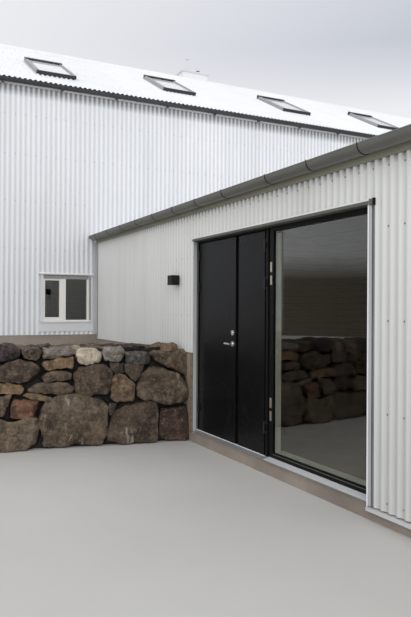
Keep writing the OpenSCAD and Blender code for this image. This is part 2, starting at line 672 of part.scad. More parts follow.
// Large fixed window beside the doors, from its sill to the head
window_a0 = opening_a + flash_t;
sill_z = entry_base_h + 44;
sill_b1 = reveal_d + 50;
window_z1 = opening_h - flash_t;
glass_lo = [window_a0 + near_stile_w, sill_z + rail_h];
glass_hi = [post_a0 - far_stile_w, window_z1 - head_h];
module glass_block(b0, b1) block([glass_lo[0], b0, glass_lo[1]], [glass_hi[0], b1, glass_hi[1]]);
module window_ring(b0, b1) difference() {
    block([window_a0, b0, sill_z], [post_a0, b1, window_z1]);
    glass_block(b0 - cut, b1 + cut);
}
module side_window_frame() color(near_black) on_entry() window_ring(reveal_d, reveal_d + 40);
module side_window_lining() color([0.80, 0.83, 0.76]) on_entry() {
    window_ring(reveal_d + 40, lining_b1);
    block([window_a0, lining_b1, sill_z], [post_a0, board_b1, glass_lo[1]]);
}
module side_window_pane() color(glass_dark) on_entry() glass_block(reveal_d + 14, reveal_d + 38);

module wall_lamp() color(near_black) on_entry() translate([6750, 0, 1790]) {
    block([-50, -12, -45], [50, 0, 45]);
    block([-65, -100, -55], [65, -12, 55]);
}

// Dry-stone wall: a battered mass along the turned line, cut at the door wall and the wing's end
module retaining_wall() color(stone_brown) site() intersection() {
    translate([entry_x, stone_y, 0]) rotate([0, 0, 180 - stone_turn]) translate([-200, 0, 0])
        mirror([0, 1, 0]) along(entry_x + 800) polygon([[0, 0], [stone_t, 0], [stone_t, stone_h],
            [stone_batter, stone_h]]);
    union() {
        block([0, 0, 0], [entry_x, entry_l, stone_h]);
        block([0, 0, 0], [entry_x + skin, entry_l, cladding_foot_z]);
    }
}

tall_plinth();
tall_floor();
upper_floor();
tall_front_wall_left();
tall_front_wall_right();
tall_front_lintel();
tall_back_wall();
tall_left_gable();
tall_right_gable();
tall_front_cladding();
tall_back_cladding();
tall_gable_cladding();
tall_roof_front();
tall_roof_back();
tall_sheet_front();
tall_sheet_back();
tall_gutters();
skylight_frames();
skylight_panes();
chimney_stack();
chimney_cap();
chimney_flues();
ridge_vent();
entry_plinth();
stem_wall();
entry_floor();
entry_wall_near();
entry_wall_far();
entry_lintel();
entry_back_wall();
entry_gable_wall();
entry_front_cladding();
entry_back_cladding();
entry_gable_cladding();
entry_roof_front();
entry_roof_back();
entry_sheet_front();
entry_sheet_back();
entry_gutters();
ridge_caps();
verge_flashings();
fascia_boards();
corner_flashings();
opening_flashings();
small_window_frames();
small_window_panes();
small_window_flashings();
door_frame();
door_hinge_pins();
threshold();
side_window_frame();
side_window_lining();
side_window_pane();
active_leaf();
door_handles();
passive_leaf();
wall_lamp();
retaining_wall();
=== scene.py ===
"""House of a tall wing and a low entry wing clad in corrugated metal, dressed for rendering.

Lengths are metres. Each wing has its own directions: a runs along the wing, b runs inward from
the outer plane of its front wall's ribs, z is up. A surface's own height above its carrier is n.
"""
import json
import math

import bmesh
import bpy
import numpy as np
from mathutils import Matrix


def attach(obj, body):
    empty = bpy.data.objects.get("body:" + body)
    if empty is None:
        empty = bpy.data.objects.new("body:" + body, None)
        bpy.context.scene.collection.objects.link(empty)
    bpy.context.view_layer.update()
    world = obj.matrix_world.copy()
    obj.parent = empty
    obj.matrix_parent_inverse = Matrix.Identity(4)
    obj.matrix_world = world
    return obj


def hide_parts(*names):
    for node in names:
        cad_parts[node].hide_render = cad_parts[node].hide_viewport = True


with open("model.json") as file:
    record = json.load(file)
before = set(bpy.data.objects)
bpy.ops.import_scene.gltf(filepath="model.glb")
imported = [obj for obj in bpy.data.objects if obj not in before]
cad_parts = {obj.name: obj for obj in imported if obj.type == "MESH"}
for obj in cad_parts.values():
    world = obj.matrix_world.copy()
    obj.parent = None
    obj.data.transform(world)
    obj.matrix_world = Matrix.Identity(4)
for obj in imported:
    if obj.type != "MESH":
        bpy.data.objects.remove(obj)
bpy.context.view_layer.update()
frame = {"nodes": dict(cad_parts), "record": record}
nodes = frame["nodes"]

# Setting out: the entry wing's front wall runs up to the tall wing's, ENTRY_A0 along it
TALL_LENGTH, ENTRY_LENGTH = 13.2, 9.9
ENTRY_A0 = 3.36
ORIGIN_X, ORIGIN_Y = TALL_LENGTH / 2, 8.080
DOOR_WALL_X = ENTRY_A0 - ORIGIN_X
TALL_WALL_Y = ENTRY_LENGTH - ORIGIN_Y

# Corrugated sheet: its crests stand SKIN in front of what carries it
SKIN = 0.020
RIB = 0.0762
RIB_DEPTH = 0.018
SHEET_COVER = 13 * RIB
SHEET_THICKNESS = 0.0007
SIDE_LAP = 0.35 * RIB
LAP_STEP = 0.0009
VERGE = 0.06


def at(x, y, z):
    """Points from their three coordinates, each a number or an array."""
    return np.stack(np.broadcast_arrays(x, y, z), -1).astype(float)


class Wing:
    """A wing's size, its roof's pitch and overhang, and the way from its own a, b, z to the frame."""

    def __init__(self, name, length, width, eave, pitch_deg, overhang, place):
        self.name, self.place, self.sides = name, place, (place, self.far)
        self.length, self.width, self.eave, self.overhang = length, width, eave, overhang
        self.pitch = math.radians(pitch_deg)
        self.slope = self.up_slope(width / 2)

    def far(self, a, b, z):
        """The same place on the wing's other long side."""
        return self.place(a, self.width - b, z)

    def up_slope(self, b):
        """How far up the roof slab from its eave the place b inward of the wall lies."""
        return (b + self.overhang) / math.cos(self.pitch)

    def crest(self, b):
        """Height of the roof sheet's crests, b inward of the wall: the eave, and from there the
        way in from the nearer eave times the tangent of the pitch."""
        inward = self.width / 2 - np.abs(b - self.width / 2)
        return self.eave + (inward + self.overhang) * math.tan(self.pitch)

    def slab(self, b):
        """Height of the roof slab's top: the crests, less the sheet's height measured upright."""
        return self.crest(b) - SKIN / math.cos(self.pitch)

    def on_slope(self, side):
        """Places u along the wing, s up the slope and n outward of the roof slab."""
        c, k = math.cos(self.pitch), math.sin(self.pitch)
        foot = self.slab(-self.overhang)
        return lambda u, s, n: side(u, -self.overhang + s * c - n * k, foot + s * k + n * c)


tall = Wing("tall", TALL_LENGTH, 6.2, 4.900, 28, 0.108,
            lambda a, b, z: at(a - ORIGIN_X, TALL_WALL_Y + b, z))
entry = Wing("entry", ENTRY_LENGTH, 5.2, 2.61, 16, 0.11,
             lambda a, b, z: at(DOOR_WALL_X + b, a - ORIGIN_Y, z))
ENTRY_A1 = ENTRY_A0 + entry.width
ROOF_SLAB = 0.18

# The opening for doors and window: its two ends and its head
OPENING = (3.5, 6.33)
HEAD_Z = 2.2

# Where the wall sheets start and end: on the tall wing's plinth, on the entry wing's plinth and its
# higher stem wall, and under the entry wing's eaves
TALL_BASE_Z = 1.05
STEM_Z = 0.982
ENTRY_BASE_Z = 0.105
ENTRY_TOP_Z = 2.5
UNDER_EAVE_Z = 2.56


# Mesh tools
def tube(rings):
    """A closed solid from rings of as many points each: quads between one ring and the next, and a
    cap on the first and on the last."""
    rings = np.asarray(rings)
    rows, ring = rings.shape[:2]
    i, j = np.meshgrid(np.arange(rows - 1), np.arange(ring), indexing="ij")
    k = (j + 1) % ring
    quads = np.stack([i * ring + j, i * ring + k, (i + 1) * ring + k, (i + 1) * ring + j], -1)
    caps = np.stack([np.arange(ring)[::-1], (rows - 1) * ring + np.arange(ring)])
    return rings.reshape(-1, 3), quads.reshape(-1, 4), caps


def run(place, profile, a0, a1):
    """A closed profile of (b, z) points, carried straight along a from a0 to a1."""
    p = np.asarray(profile, float)
    return tube([place(a, p[:, 0], p[:, 1]) for a in (a0, a1)])


def box(place, lo, hi, edge=0.0):
    """A block from corner lo to corner hi, given as its place takes them. A small bevel eases its
    edges, two rings of eight points that run along the second direction."""
    (a0, b0, z0), (a1, b1, z1) = lo, hi
    ring = np.array([[a0 + edge, z0], [a1 - edge, z0], [a1, z0 + edge], [a1, z1 - edge],
                     [a1 - edge, z1], [a0 + edge, z1], [a0, z1 - edge], [a0, z0 + edge]])
    inner = np.clip(ring, [a0 + edge, z0 + edge], [a1 - edge, z1 - edge])
    rings = [(ring, b0 + edge), (ring, b1 - edge)]
    if edge:
        rings = [(inner, b0), *rings, (inner, b1)]
    return tube([place(r[:, 0], b, r[:, 1]) for r, b in rings])


def turned(place, centre, profile, steps=24):
    """A profile of (radius, height) points turned about the line along n through centre (u, v)."""
    p = np.asarray(profile, float)
    t = np.linspace(0, 2 * np.pi, steps, endpoint=False)
    u = centre[0] + p[:, :1] * np.cos(t)
    v = centre[1] + p[:, :1] * np.sin(t)
    return tube(place(u, v, np.broadcast_to(p[:, 1:], u.shape)))


def piece(name, parts, finish, body="house", replaces=(), smooth=None, tones=()):
    """Joins closed parts into one mesh whose normals face outward, and hands it to its body. Each
    part has one tone, and may carry a depth for each of its points. Its slot takes the finish."""
    points, faces, tone, depth, base = [], [], [], [], 0
    for (own, quads, caps, *own_depth), shade in zip(parts, tones or [0.0] * len(parts)):
        points.append(own)
        faces += (quads + base).tolist() + (caps + base).tolist()
        tone.append(np.full(len(own), shade))
        depth.append(own_depth[0] if own_depth else np.zeros(len(own)))
        base += len(own)
    mesh = bpy.data.meshes.new(name)
    mesh.from_pydata(np.concatenate(points).tolist(), [], faces)
    for key, values in (("tone", tone), ("depth", depth)):
        layer = mesh.attributes.new(key, "FLOAT", "POINT")
        layer.data.foreach_set("value", np.concatenate(values).astype(np.float32))
    bm = bmesh.new()
    bm.from_mesh(mesh)
    bmesh.ops.remove_doubles(bm, verts=bm.verts, dist=1e-6)
    bmesh.ops.recalc_face_normals(bm, faces=bm.faces)
    bm.to_mesh(mesh)
    bm.free()
    if smooth is not None:
        mesh.shade_smooth()
        mesh.set_sharp_from_angle(angle=math.radians(smooth))
    mesh.materials.append(finishes[finish])
    obj = bpy.data.objects.new(name, mesh)
    bpy.context.scene.collection.objects.link(obj)
    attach(obj, body)
    if replaces:
        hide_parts(*replaces)


# Finishes
finishes = {}


class Nodes:
    """A node tree with short calls for the few nodes that the finishes and the studio share."""

    def __init__(self, tree):
        self.tree = tree

    def node(self, kind, **values):
        """A new node, with values for its sockets and its settings."""
        n = self.tree.nodes.new(kind)
        for key, value in values.items():
            if key in n.inputs:
                n.inputs[key].default_value = value
            else:
                setattr(n, key, value)
        return n

    def link(self, source, target):
        self.tree.links.new(source, target)

    def feed(self, socket, value):
        """Gives a socket a number, a colour or another node's output."""
        if isinstance(value, (int, float)):
            socket.default_value = value
        elif isinstance(value, tuple):
            socket.default_value = (*value, 1)
        else:
            self.link(value, socket)

    def height_of(self, vector):
        """The upright share of a place or a direction."""
        split = self.node("ShaderNodeSeparateXYZ")
        self.link(vector, split.inputs["Vector"])
        return split.outputs["Z"]

    def spread(self, value, low, high, out_low=0.0, out_high=1.0):
        """Carries value evenly from low..high to out_low..out_high, held at both ends."""
        n = self.node("ShaderNodeMapRange")
        for key, v in zip(("From Min", "From Max", "To Min", "To Max"), (low, high, out_low, out_high)):
            n.inputs[key].default_value = v
        self.link(value, n.inputs["Value"])
        return n.outputs["Result"]

    def math(self, operation, a, b):
        n = self.node("ShaderNodeMath", operation=operation)
        self.feed(n.inputs[0], a)
        self.feed(n.inputs[1], b)
        return n.outputs["Value"]

    def mix(self, share, a, b, blend="MIX"):
        """Colour a, with its share of colour b."""
        n = self.node("ShaderNodeMix", data_type="RGBA", blend_type=blend)
        for key, value in ((0, share), (6, a), (7, b)):
            self.feed(n.inputs[key], value)
        return n.outputs[2]


class Finish(Nodes):
    """A material: its shader, and patterns on the piece's own coordinates."""

    def __init__(self, name, **sockets):
        self.material = bpy.data.materials.new(name)
        self.material.use_nodes = True
        super().__init__(self.material.node_tree)
        self.shader = self.tree.nodes["Principled BSDF"]
        self.coords = self.node("ShaderNodeTexCoord").outputs["Object"]
        for key, value in sockets.items():
            self.shader.inputs[key.replace("_", " ")].default_value = value
        finishes[name] = self.material

    def noise(self, scale, detail=4.0, rough=0.55, stretch=(1, 1, 1)):
        mapping = self.node("ShaderNodeMapping", Scale=stretch)
        self.link(self.coords, mapping.inputs["Vector"])
        n = self.node("ShaderNodeTexNoise", Scale=scale, Detail=detail, Roughness=rough)
        self.link(mapping.outputs["Vector"], n.inputs["Vector"])
        return n.outputs["Fac"]

    def attribute(self, name):
        return self.node("ShaderNodeAttribute", attribute_name=name).outputs["Fac"]

    def colour(self, value):
        self.link(value, self.shader.inputs["Base Color"])

    def roughness(self, value):
        self.link(value, self.shader.inputs["Roughness"])

    def bump(self, height, distance, strength):
        n = self.node("ShaderNodeBump", Strength=strength, Distance=distance)
        self.link(height, n.inputs["Height"])
        self.link(n.outputs["Normal"], self.shader.inputs["Normal"])


def srgb(r, g, b):
    """Screen colour, 0 to 255, as the linear colour that a shader takes."""
    c = np.array([r, g, b]) / 255
    return tuple(float(v) for v in np.where(c <= 0.04045, c / 12.92, ((c + 0.055) / 1.055) ** 2.4))


def scaled(colour, k):
    return tuple(v * k for v in colour)


def coated_sheet(name, colour, dirt, rough, valley, eaves=None, foot_darkening=None):
    """Satin coil-coated steel: each sheet a touch lighter or darker, faint runs down it, dust and painted
    shade in the valleys, and painted shade under the eaves. eaves gives the two heights between which
    that painted shade sets in, and how much of it lies on the crests and in the valleys. The last
    argument gives the heights between which the sheet grows lighter upward from its darker foot, and
    its shade at both."""
    f = Finish(name, Specular_IOR_Level=0.5)
    cloud = f.noise(0.6, 3)
    runs = f.noise(2.2, 5, 0.6, (1, 1, 0.08))
    fine = f.noise(60, 3)
    base = f.mix(f.spread(f.attribute("tone"), -1, 1), scaled(colour, 0.955), scaled(colour, 1.0))
    worn = f.mix(f.spread(runs, 0.5, 0.75, 0, 0.35), base, dirt)
    worn = f.mix(f.spread(cloud, 0.45, 0.8, 0, 0.16), worn, dirt)
    depth = f.attribute("depth")
    # Dust and painted shade: the valleys darken towards a darker dust colour, by their depth
    worn = f.mix(f.spread(depth, 0.3, 1, 0, valley), worn, scaled(dirt, 0.45))
    height = f.height_of(f.coords)
    # Painted shade: below the eaves the sheet darkens towards dark grey, most in its valleys
    if eaves:
        *heights, on_crests, in_valleys = eaves
        eave_shade = f.math("MULTIPLY", f.spread(height, *heights),
                      f.spread(depth, 0.2, 0.8, on_crests, in_valleys))
        worn = f.mix(eave_shade, worn, srgb(60, 57, 54))
    # Darker towards the foot of the wall, growing lighter upward
    if foot_darkening:
        worn = f.mix(1.0, worn, f.spread(height, *foot_darkening), "MULTIPLY")
    f.colour(worn)
    f.roughness(f.spread(f.math("ADD", fine, cloud), 0.6, 1.4, rough - 0.06, rough + 0.10))
    f.bump(f.noise(7, 2, 0.5, (1, 1, 0.3)), 0.0009, 0.5)


def coated_trim(name, colour, dirt, rough, metallic=0.0, shine=0.5):
    """Folded coated sheet: flat and even, with dust in clouds and light handling marks."""
    f = Finish(name, Metallic=metallic, Specular_IOR_Level=shine)
    cloud = f.noise(2.4, 5)
    scuff = f.noise(34, 6, 0.7)
    shade = f.mix(f.spread(cloud, 0.4, 0.75, 0, 0.35), colour, dirt)
    f.colour(f.mix(f.spread(scuff, 0.62, 0.8, 0, 0.25), shade, scaled(colour, 1.12)))
    f.roughness(f.spread(scuff, 0.3, 0.7, rough - 0.07, rough + 0.12))
    f.bump(scuff, 0.0004, 0.4)


def cast_concrete(name, light, dark):
    """Cast concrete: cloudy cement paste, fine grains and air holes."""
    f = Finish(name)
    cloud, grain, fine = f.noise(1.7, 6, 0.6), f.noise(40, 6, 0.65), f.noise(220, 3)
    holes = f.node("ShaderNodeTexVoronoi", Scale=38.0, Randomness=1.0)
    f.link(f.coords, holes.inputs["Vector"])
    base = f.mix(f.spread(cloud, 0.35, 0.68), dark, light)
    base = f.mix(f.spread(fine, 0.42, 0.62, 0, 0.3), base, scaled(light, 1.12))
    f.colour(f.mix(f.spread(holes.outputs["Distance"], 0.09, 0.03, 0, 0.6), base, scaled(dark, 0.45)))
    f.roughness(f.spread(cloud, 0.3, 0.7, 0.93, 0.78))
    pits = f.spread(holes.outputs["Distance"], 0.02, 0.12)
    f.bump(f.math("ADD", f.math("MULTIPLY", grain, 0.6), pits), 0.0016, 0.6)


def boards(name, light, dark):
    """Sawn boarding and framing: long grain, board to board change of shade."""
    f = Finish(name)
    grain = f.noise(6, 8, 0.65, (0.35, 0.35, 9))
    knots = f.noise(1.3, 3)
    lines = f.node("ShaderNodeTexWave", bands_direction="Z", Scale=2.6, Distortion=0.4)
    f.link(f.coords, lines.inputs["Vector"])
    base = f.mix(f.spread(grain, 0.3, 0.7), dark, light)
    base = f.mix(f.spread(knots, 0.5, 0.8, 0, 0.35), base, scaled(dark, 0.8))
    f.colour(f.mix(f.spread(lines.outputs["Fac"], 0.06, 0.0, 0, 0.5), base, scaled(dark, 0.4)))
    f.roughness(f.spread(grain, 0.3, 0.7, 0.85, 0.6))
    f.bump(grain, 0.0008, 0.5)


def door_paint(name, colour):
    """Satin black paint over a door skin: faint spray texture, dust in patches."""
    f = Finish(name, IOR=1.24)
    cloud, spray = f.noise(1.1, 4), f.noise(420, 2)
    dust = f.noise(9, 6, 0.7, (1, 1, 0.5))
    base = f.mix(f.spread(cloud, 0.35, 0.7), colour, scaled(colour, 1.5))
    f.colour(f.mix(f.spread(dust, 0.55, 0.8, 0, 0.05), base, srgb(120, 115, 108)))
    f.roughness(f.spread(f.math("ADD", cloud, dust), 0.7, 1.3, 0.24, 0.38))
    f.bump(spray, 0.00012, 0.4)


def brushed(name, colour, rough, scales):
    """Brushed or rolled metal: fine lines along the direction of the least scale, light scuffs."""
    f = Finish(name, Metallic=1.0)
    lines, scuff = f.noise(4, 6, 0.7, scales), f.noise(12, 5, 0.6)
    base = f.mix(f.spread(lines, 0.3, 0.7), scaled(colour, 0.82), colour)
    f.colour(f.mix(f.spread(scuff, 0.55, 0.8, 0, 0.4), base, scaled(colour, 0.6)))
    f.roughness(f.spread(lines, 0.3, 0.7, rough, rough + 0.16))
    f.bump(lines, 0.0002, 0.5)


def glazing(name, tint, ior, clear=1.0):
    """Double glazing: clear and faintly tinted, with a breath of dust on the outside. A low clear share
    makes it mostly a pale surface, which paints its reflection of the sky.
    """
    f = Finish(name, Transmission_Weight=clear, IOR=ior)
    dust = f.noise(5, 6, 0.7)
    f.colour(f.mix(f.spread(dust, 0.45, 0.8), tint, scaled(tint, 0.9)))
    f.roughness(f.spread(dust, 0.5, 0.9, 0, 0.05))


# Where each shade of stone lies between tone 0 and tone 1
STONE_SHADES = {0.0: (70, 58, 61), 0.12: (98, 95, 90), 0.24: (152, 144, 135), 0.36: (74, 63, 55),
                0.48: (100, 84, 70), 0.60: (118, 103, 86), 0.72: (146, 119, 90), 0.84: (126, 89, 67),
                0.93: (82, 60, 50), 1.0: (204, 192, 173)}


def field_stone(name):
    """Weathered basalt: each stone its own brown or grey, mottled, speckled, with dark grains, a few
    pale runs of crust, and painted shade, near black, where its edge turns into the joint."""
    f = Finish(name)
    cloud, mottle, grain = f.noise(4, 6, 0.65), f.noise(12, 7, 0.72), f.noise(34, 6, 0.75)
    fine, band = f.noise(320, 3), f.noise(5, 5, 0.6, (1, 1, 2.6))
    crust = f.noise(5, 6, 0.7, (1, 1, 0.35))
    own = f.node("ShaderNodeValToRGB")
    stops = own.color_ramp.elements
    while len(stops) < len(STONE_SHADES):
        stops.new(0.5)
    for stop, (place, rgb) in zip(stops, STONE_SHADES.items()):
        stop.position = place
        stop.color = (*scaled(srgb(*rgb), 0.86), 1)
    f.link(f.spread(f.attribute("tone"), 0, 1), own.inputs["Fac"])
    base = own.outputs["Color"]
    dark = f.mix(1.0, base, (0.42, 0.39, 0.37), "MULTIPLY")
    light = f.mix(1.0, base, (1.75, 1.70, 1.62), "MULTIPLY")
    rust = f.mix(1.0, base, srgb(205, 168, 130), "MULTIPLY")
    c = f.mix(f.spread(cloud, 0.40, 0.55), dark, base)
    for pattern, low, high, share, layer in (
            (mottle, 0.50, 0.62, 0.8, light), (mottle, 0.46, 0.34, 0.7, dark),
            (band, 0.55, 0.75, 0.5, rust), (grain, 0.55, 0.68, 0.55, srgb(158, 146, 128)),
            (grain, 0.45, 0.34, 0.75, srgb(30, 26, 23)), (crust, 0.61, 0.67, 0.6, srgb(190, 182, 166)),
            (fine, 0.62, 0.75, 0.3, srgb(170, 160, 146)),
            # Painted shade: near black where the stone's edge turns into the joint
            (f.attribute("depth"), 0.3, 1, 0.9, srgb(14, 12, 11))):
        c = f.mix(f.spread(pattern, low, high, 0, share), c, layer)
    f.colour(c)
    f.roughness(f.spread(mottle, 0.3, 0.7, 0.92, 0.74))
    height = f.math("ADD", f.math("MULTIPLY", mottle, 1.6), f.math("MULTIPLY", grain, 0.7))
    f.bump(f.math("ADD", height, f.math("MULTIPLY", fine, 0.15)), 0.018, 0.9)


# valley: the share of dust and painted shade in the sheets' valleys
TALL_COAT = {"colour": srgb(240, 241, 244), "dirt": srgb(206, 207, 209), "rough": 0.42, "valley": 0.34}
ENTRY_COAT = {"colour": srgb(231, 231, 228), "dirt": srgb(196, 196, 190), "rough": 0.40,
              # The last entry makes the entry wing's sheets darker towards their foot
              "valley": 0.16, "foot_darkening": (0.4, 2.4, 0.80, 1.0)}
coated_sheet("tall_sheet_white", **TALL_COAT)
# The _eaves coats carry painted shade at the top of the wall sheets, under the eaves
coated_sheet("tall_sheet_white_eaves", **TALL_COAT, eaves=(4.645, 4.745, 0.34, 0.66))
coated_sheet("entry_sheet_grey", **ENTRY_COAT)
coated_sheet("entry_sheet_grey_eaves", **ENTRY_COAT, eaves=(2.44, 2.50, 0.08, 0.72))
coated_sheet("roof_sheet_white", srgb(248, 248, 249), srgb(228, 228, 227), 0.45, 0.0)

# Trims: colour, dust and roughness, then how metallic and how shiny where that isn't plain paint
for trim, colour, dust, *gloss in (
        ("trim_metal", (186, 187, 189), (150, 149, 147), 0.36),
        ("trim_white", (232, 232, 232), (196, 195, 190), 0.4),
        ("flashing_pale", (226, 226, 228), (198, 197, 196), 0.4),
        ("ledge_pale", (206, 206, 207), (180, 179, 178), 0.4),
        ("sill_pale", (138, 138, 139), (114, 113, 112), 0.42),
        ("edge_white", (250, 250, 250), (238, 238, 238), 0.4),
        ("fascia_paint", (149, 147, 130), (128, 126, 111), 0.6),
        ("gutter_black", (52, 52, 55), (78, 78, 78), 0.4),
        ("gutter_grey", (103, 102, 97), (87, 86, 80), 0.42),
        ("roof_window_metal", (68, 68, 70), (60, 60, 61), 0.17, 1.0),
        ("window_white", (240, 237, 232), (222, 217, 208), 0.45),
        ("chimney_white", (238, 239, 240), (206, 206, 204), 0.5),
        ("zinc", (220, 221, 224), (196, 197, 198), 0.42, 0.1),
        ("lining_pale", (246, 250, 240), (226, 230, 216), 0.55),
        ("hinge_black", (16, 16, 17), (48, 46, 44), 0.42),
        ("cover_grey", (164, 164, 165), (146, 146, 145), 0.45),
        ("frame_black", (13, 13, 14), (24, 24, 24), 0.5, 0.0, 0.16),
        ("soffit_grey", (96, 95, 90), (76, 75, 71), 0.6),
        ("shade_grey", (158, 157, 154), (138, 136, 132), 0.6),
        ("lamp_black", (17, 17, 17), (34, 33, 31), 0.5, 0.0, 0.25),
        ("screw_grey", (150, 151, 153), (96, 95, 93), 0.35, 0.5),
        ("screw_white", (176, 177, 180), (140, 140, 140), 0.4)):
    coated_trim(trim, srgb(*colour), srgb(*dust), *gloss)

door_paint("door_black", srgb(15, 15, 17))
brushed("plate_steel", srgb(206, 197, 182), 0.40, (60, 60, 1.5))
brushed("handle_steel", srgb(246, 244, 240), 0.30, (60, 1.5, 60))
glazing("window_glass", srgb(248, 249, 240), 1.56)
glazing("small_window_glass", srgb(236, 238, 232), 1.75)
# The roof panes: mostly a pale opaque surface, a painted reflection of the sky
glazing("roof_glass", srgb(250, 251, 252), 1.7, clear=0.1)
cast_concrete("concrete", srgb(162, 150, 139), srgb(130, 120, 110))
cast_concrete("stone_hearting", srgb(44, 38, 34), srgb(22, 19, 17))
boards("wall_timber", srgb(132, 106, 76), srgb(104, 80, 55))
boards("edge_board", srgb(150, 128, 104), srgb(122, 102, 80))
field_stone("field_stone")

# Nodes whose finish isn't the one that their slot names
OWN_FINISHES = {"skylight_panes": "roof_glass", "small_window_panes": "small_window_glass",
                "small_window_flashings": "flashing_pale", "side_window_frame": "frame_black",
                "door_frame": "frame_black", "threshold": "sill_pale"}
for part in frame["record"]["subparts"]:
    mesh = nodes[part["node"]].data
    mesh.materials.clear()
    mesh.materials.append(finishes[OWN_FINISHES.get(part["node"], part["material_slot"])])


# Corrugated sheets
def rib_height(u):
    """Height of the sheet above its carrier: a cosine wave from valley to crest, one rib a period."""
    return SKIN - RIB_DEPTH * (0.5 - 0.5 * np.cos(2 * np.pi * u / RIB))


def sheet_strip(place, u0, u1, low, high, lift):
    """A strip of thin sheet from u0 to u1: its lower and upper ends follow low(u) and high(u), its
    height above the carrier is the rib wave plus lift, and its back is the same wave one thickness
    lower. Its depth runs from 0 on the crests to 1 in the valleys."""
    u = np.linspace(u0, u1, max(math.ceil((u1 - u0) / RIB * 8), 1) + 1)
    v0, v1 = (end(u) if callable(end) else np.full(len(u), end) for end in (low, high))
    front = rib_height(u) + lift
    back = front - SHEET_THICKNESS
    depth = (SKIN - rib_height(u)) / RIB_DEPTH
    corners = [place(u, v0, front), place(u, v1, front), place(u, v1, back), place(u, v0, back)]
    return *tube(np.stack(corners, 1)), np.repeat(depth, 4)


def clad(place, regions, seed):
    """Sheets of one covering width each, with a side lap on their neighbour, over the regions
    (u0, u1, low, high). Returns the parts and one shade for each sheet."""
    shades = np.random.default_rng(seed).uniform(-1, 1, 40)
    parts, tones = [], []
    for u0, u1, low, high in regions:
        for k in range(math.floor(u0 / SHEET_COVER), math.ceil((u1 - 1e-6) / SHEET_COVER)):
            s0 = max(k * SHEET_COVER - SIDE_LAP, u0)
            s1 = min((k + 1) * SHEET_COVER + SIDE_LAP, u1)
            only_lap = s0 > u0 and s1 == u1 and s1 - s0 < 0.4 * RIB
            if s1 - s0 > 1e-3 and not only_lap:
                parts.append(sheet_strip(place, s0, s1, low, high, 0.0 if k % 2 else -LAP_STEP))
                tones.append(shades[k % len(shades)])
    return parts, tones


def skin(name, finish, replaces, runs):
    """One piece of the sheets that lie over runs of (place, regions, seed)."""
    parts, tones = [], []
    for each in runs:
        own_parts, own_tones = clad(*each)
        parts += own_parts
        tones += own_tones
    piece(name, parts, finish, replaces=[replaces], smooth=40, tones=tones)


def around(regions, holes):
    """Splits regions with level ends round rectangular holes (u0, u1, v0, v1)."""
    out = []
    for u0, u1, low, high in regions:
        cuts = sorted({u0, u1, *[x for h in holes for x in h[:2] if u0 < x < u1]})
        for c0, c1 in zip(cuts, cuts[1:]):
            floor = low
            for h in sorted(h for h in holes if h[0] < c1 - 1e-6 and h[1] > c0 + 1e-6):
                out.append((c0, c1, floor, h[2]))
                floor = h[3]
            out.append((c0, c1, floor, high))
    return out


def wall_place(side):
    """Places u along a long wall, v up and n outward of the boards that carry the sheet."""
    return lambda u, v, n: side(u, SKIN - n, v)


def gable_place(wing, a, outward):
    """Places u across a gable that stands at a, v up and n outward of its boards."""
    return lambda u, v, n: wing.place(a + outward * n, u, v)


def gable_top(wing):
    """The line along which a gable's sheet ends: the roof slab's underside."""
    return lambda u: wing.slab(u) - ROOF_SLAB / math.cos(wing.pitch)


def gable_regions(wing, base):
    """A gable's two halves, from its base up to the sloping line of its top."""
    middle = wing.width / 2
    return [(u0, u0 + middle, base, gable_top(wing)) for u0 in (0.0, middle)]


# Small windows, as wide and as high as the holes that the cladding leaves them
WINDOW_W, WINDOW_H, WINDOW_Z = 0.79, 0.755, 1.225
WINDOW_TOP_Z = WINDOW_Z + WINDOW_H
WINDOW_END = 2.48
TALL_WINDOWS = (WINDOW_END, tall.length - WINDOW_END - WINDOW_W)
ENTRY_WINDOWS = (2.2, 6.6)
tall_holes, entry_holes = ([(a, a + WINDOW_W, WINDOW_Z, WINDOW_TOP_Z) for a in row]
                           for row in (TALL_WINDOWS, ENTRY_WINDOWS))
small_windows = [(side, a) for side, row in ((tall.place, TALL_WINDOWS), (tall.far, TALL_WINDOWS),
                                             (entry.far, ENTRY_WINDOWS)) for a in row]

# Wall sheets. Above the entry wing's roof the tall wing's front sheets stand on that roof's crests
EAVE_OUT = 0.13
ROOF_A0, ROOF_A1 = ENTRY_A0 - EAVE_OUT, ENTRY_A1 + EAVE_OUT
TALL_TOP_Z = tall.crest(0.0) - 0.065
tall_back = around([(SKIN, tall.length - SKIN, TALL_BASE_Z, TALL_TOP_Z)], tall_holes)
tall_front = around([(SKIN, ROOF_A0, TALL_BASE_Z, TALL_TOP_Z),
                     (ROOF_A0, ENTRY_A0, TALL_BASE_Z, UNDER_EAVE_Z),
                     (ENTRY_A1, ROOF_A1, TALL_BASE_Z, UNDER_EAVE_Z),
                     (ROOF_A1, tall.length - SKIN, TALL_BASE_Z, TALL_TOP_Z)], tall_holes)
tall_front.append((ROOF_A0, ROOF_A1, lambda u: entry.crest(u - ENTRY_A0), TALL_TOP_Z))
tall_gables = [gable_place(tall, SKIN, -1), gable_place(tall, tall.length - SKIN, 1)]

CHANNEL_A = OPENING[0] - 0.072
HEAD_TRIM_Z = HEAD_Z + 0.013
entry_front = [(SKIN, CHANNEL_A, ENTRY_BASE_Z, ENTRY_TOP_Z),
               (CHANNEL_A, OPENING[1], HEAD_TRIM_Z, ENTRY_TOP_Z),
               (OPENING[1], entry.length, STEM_Z, ENTRY_TOP_Z)]
entry_back = around([(SKIN, entry.length, ENTRY_BASE_Z, ENTRY_TOP_Z)], entry_holes)
entry_gable = gable_place(entry, SKIN, -1)
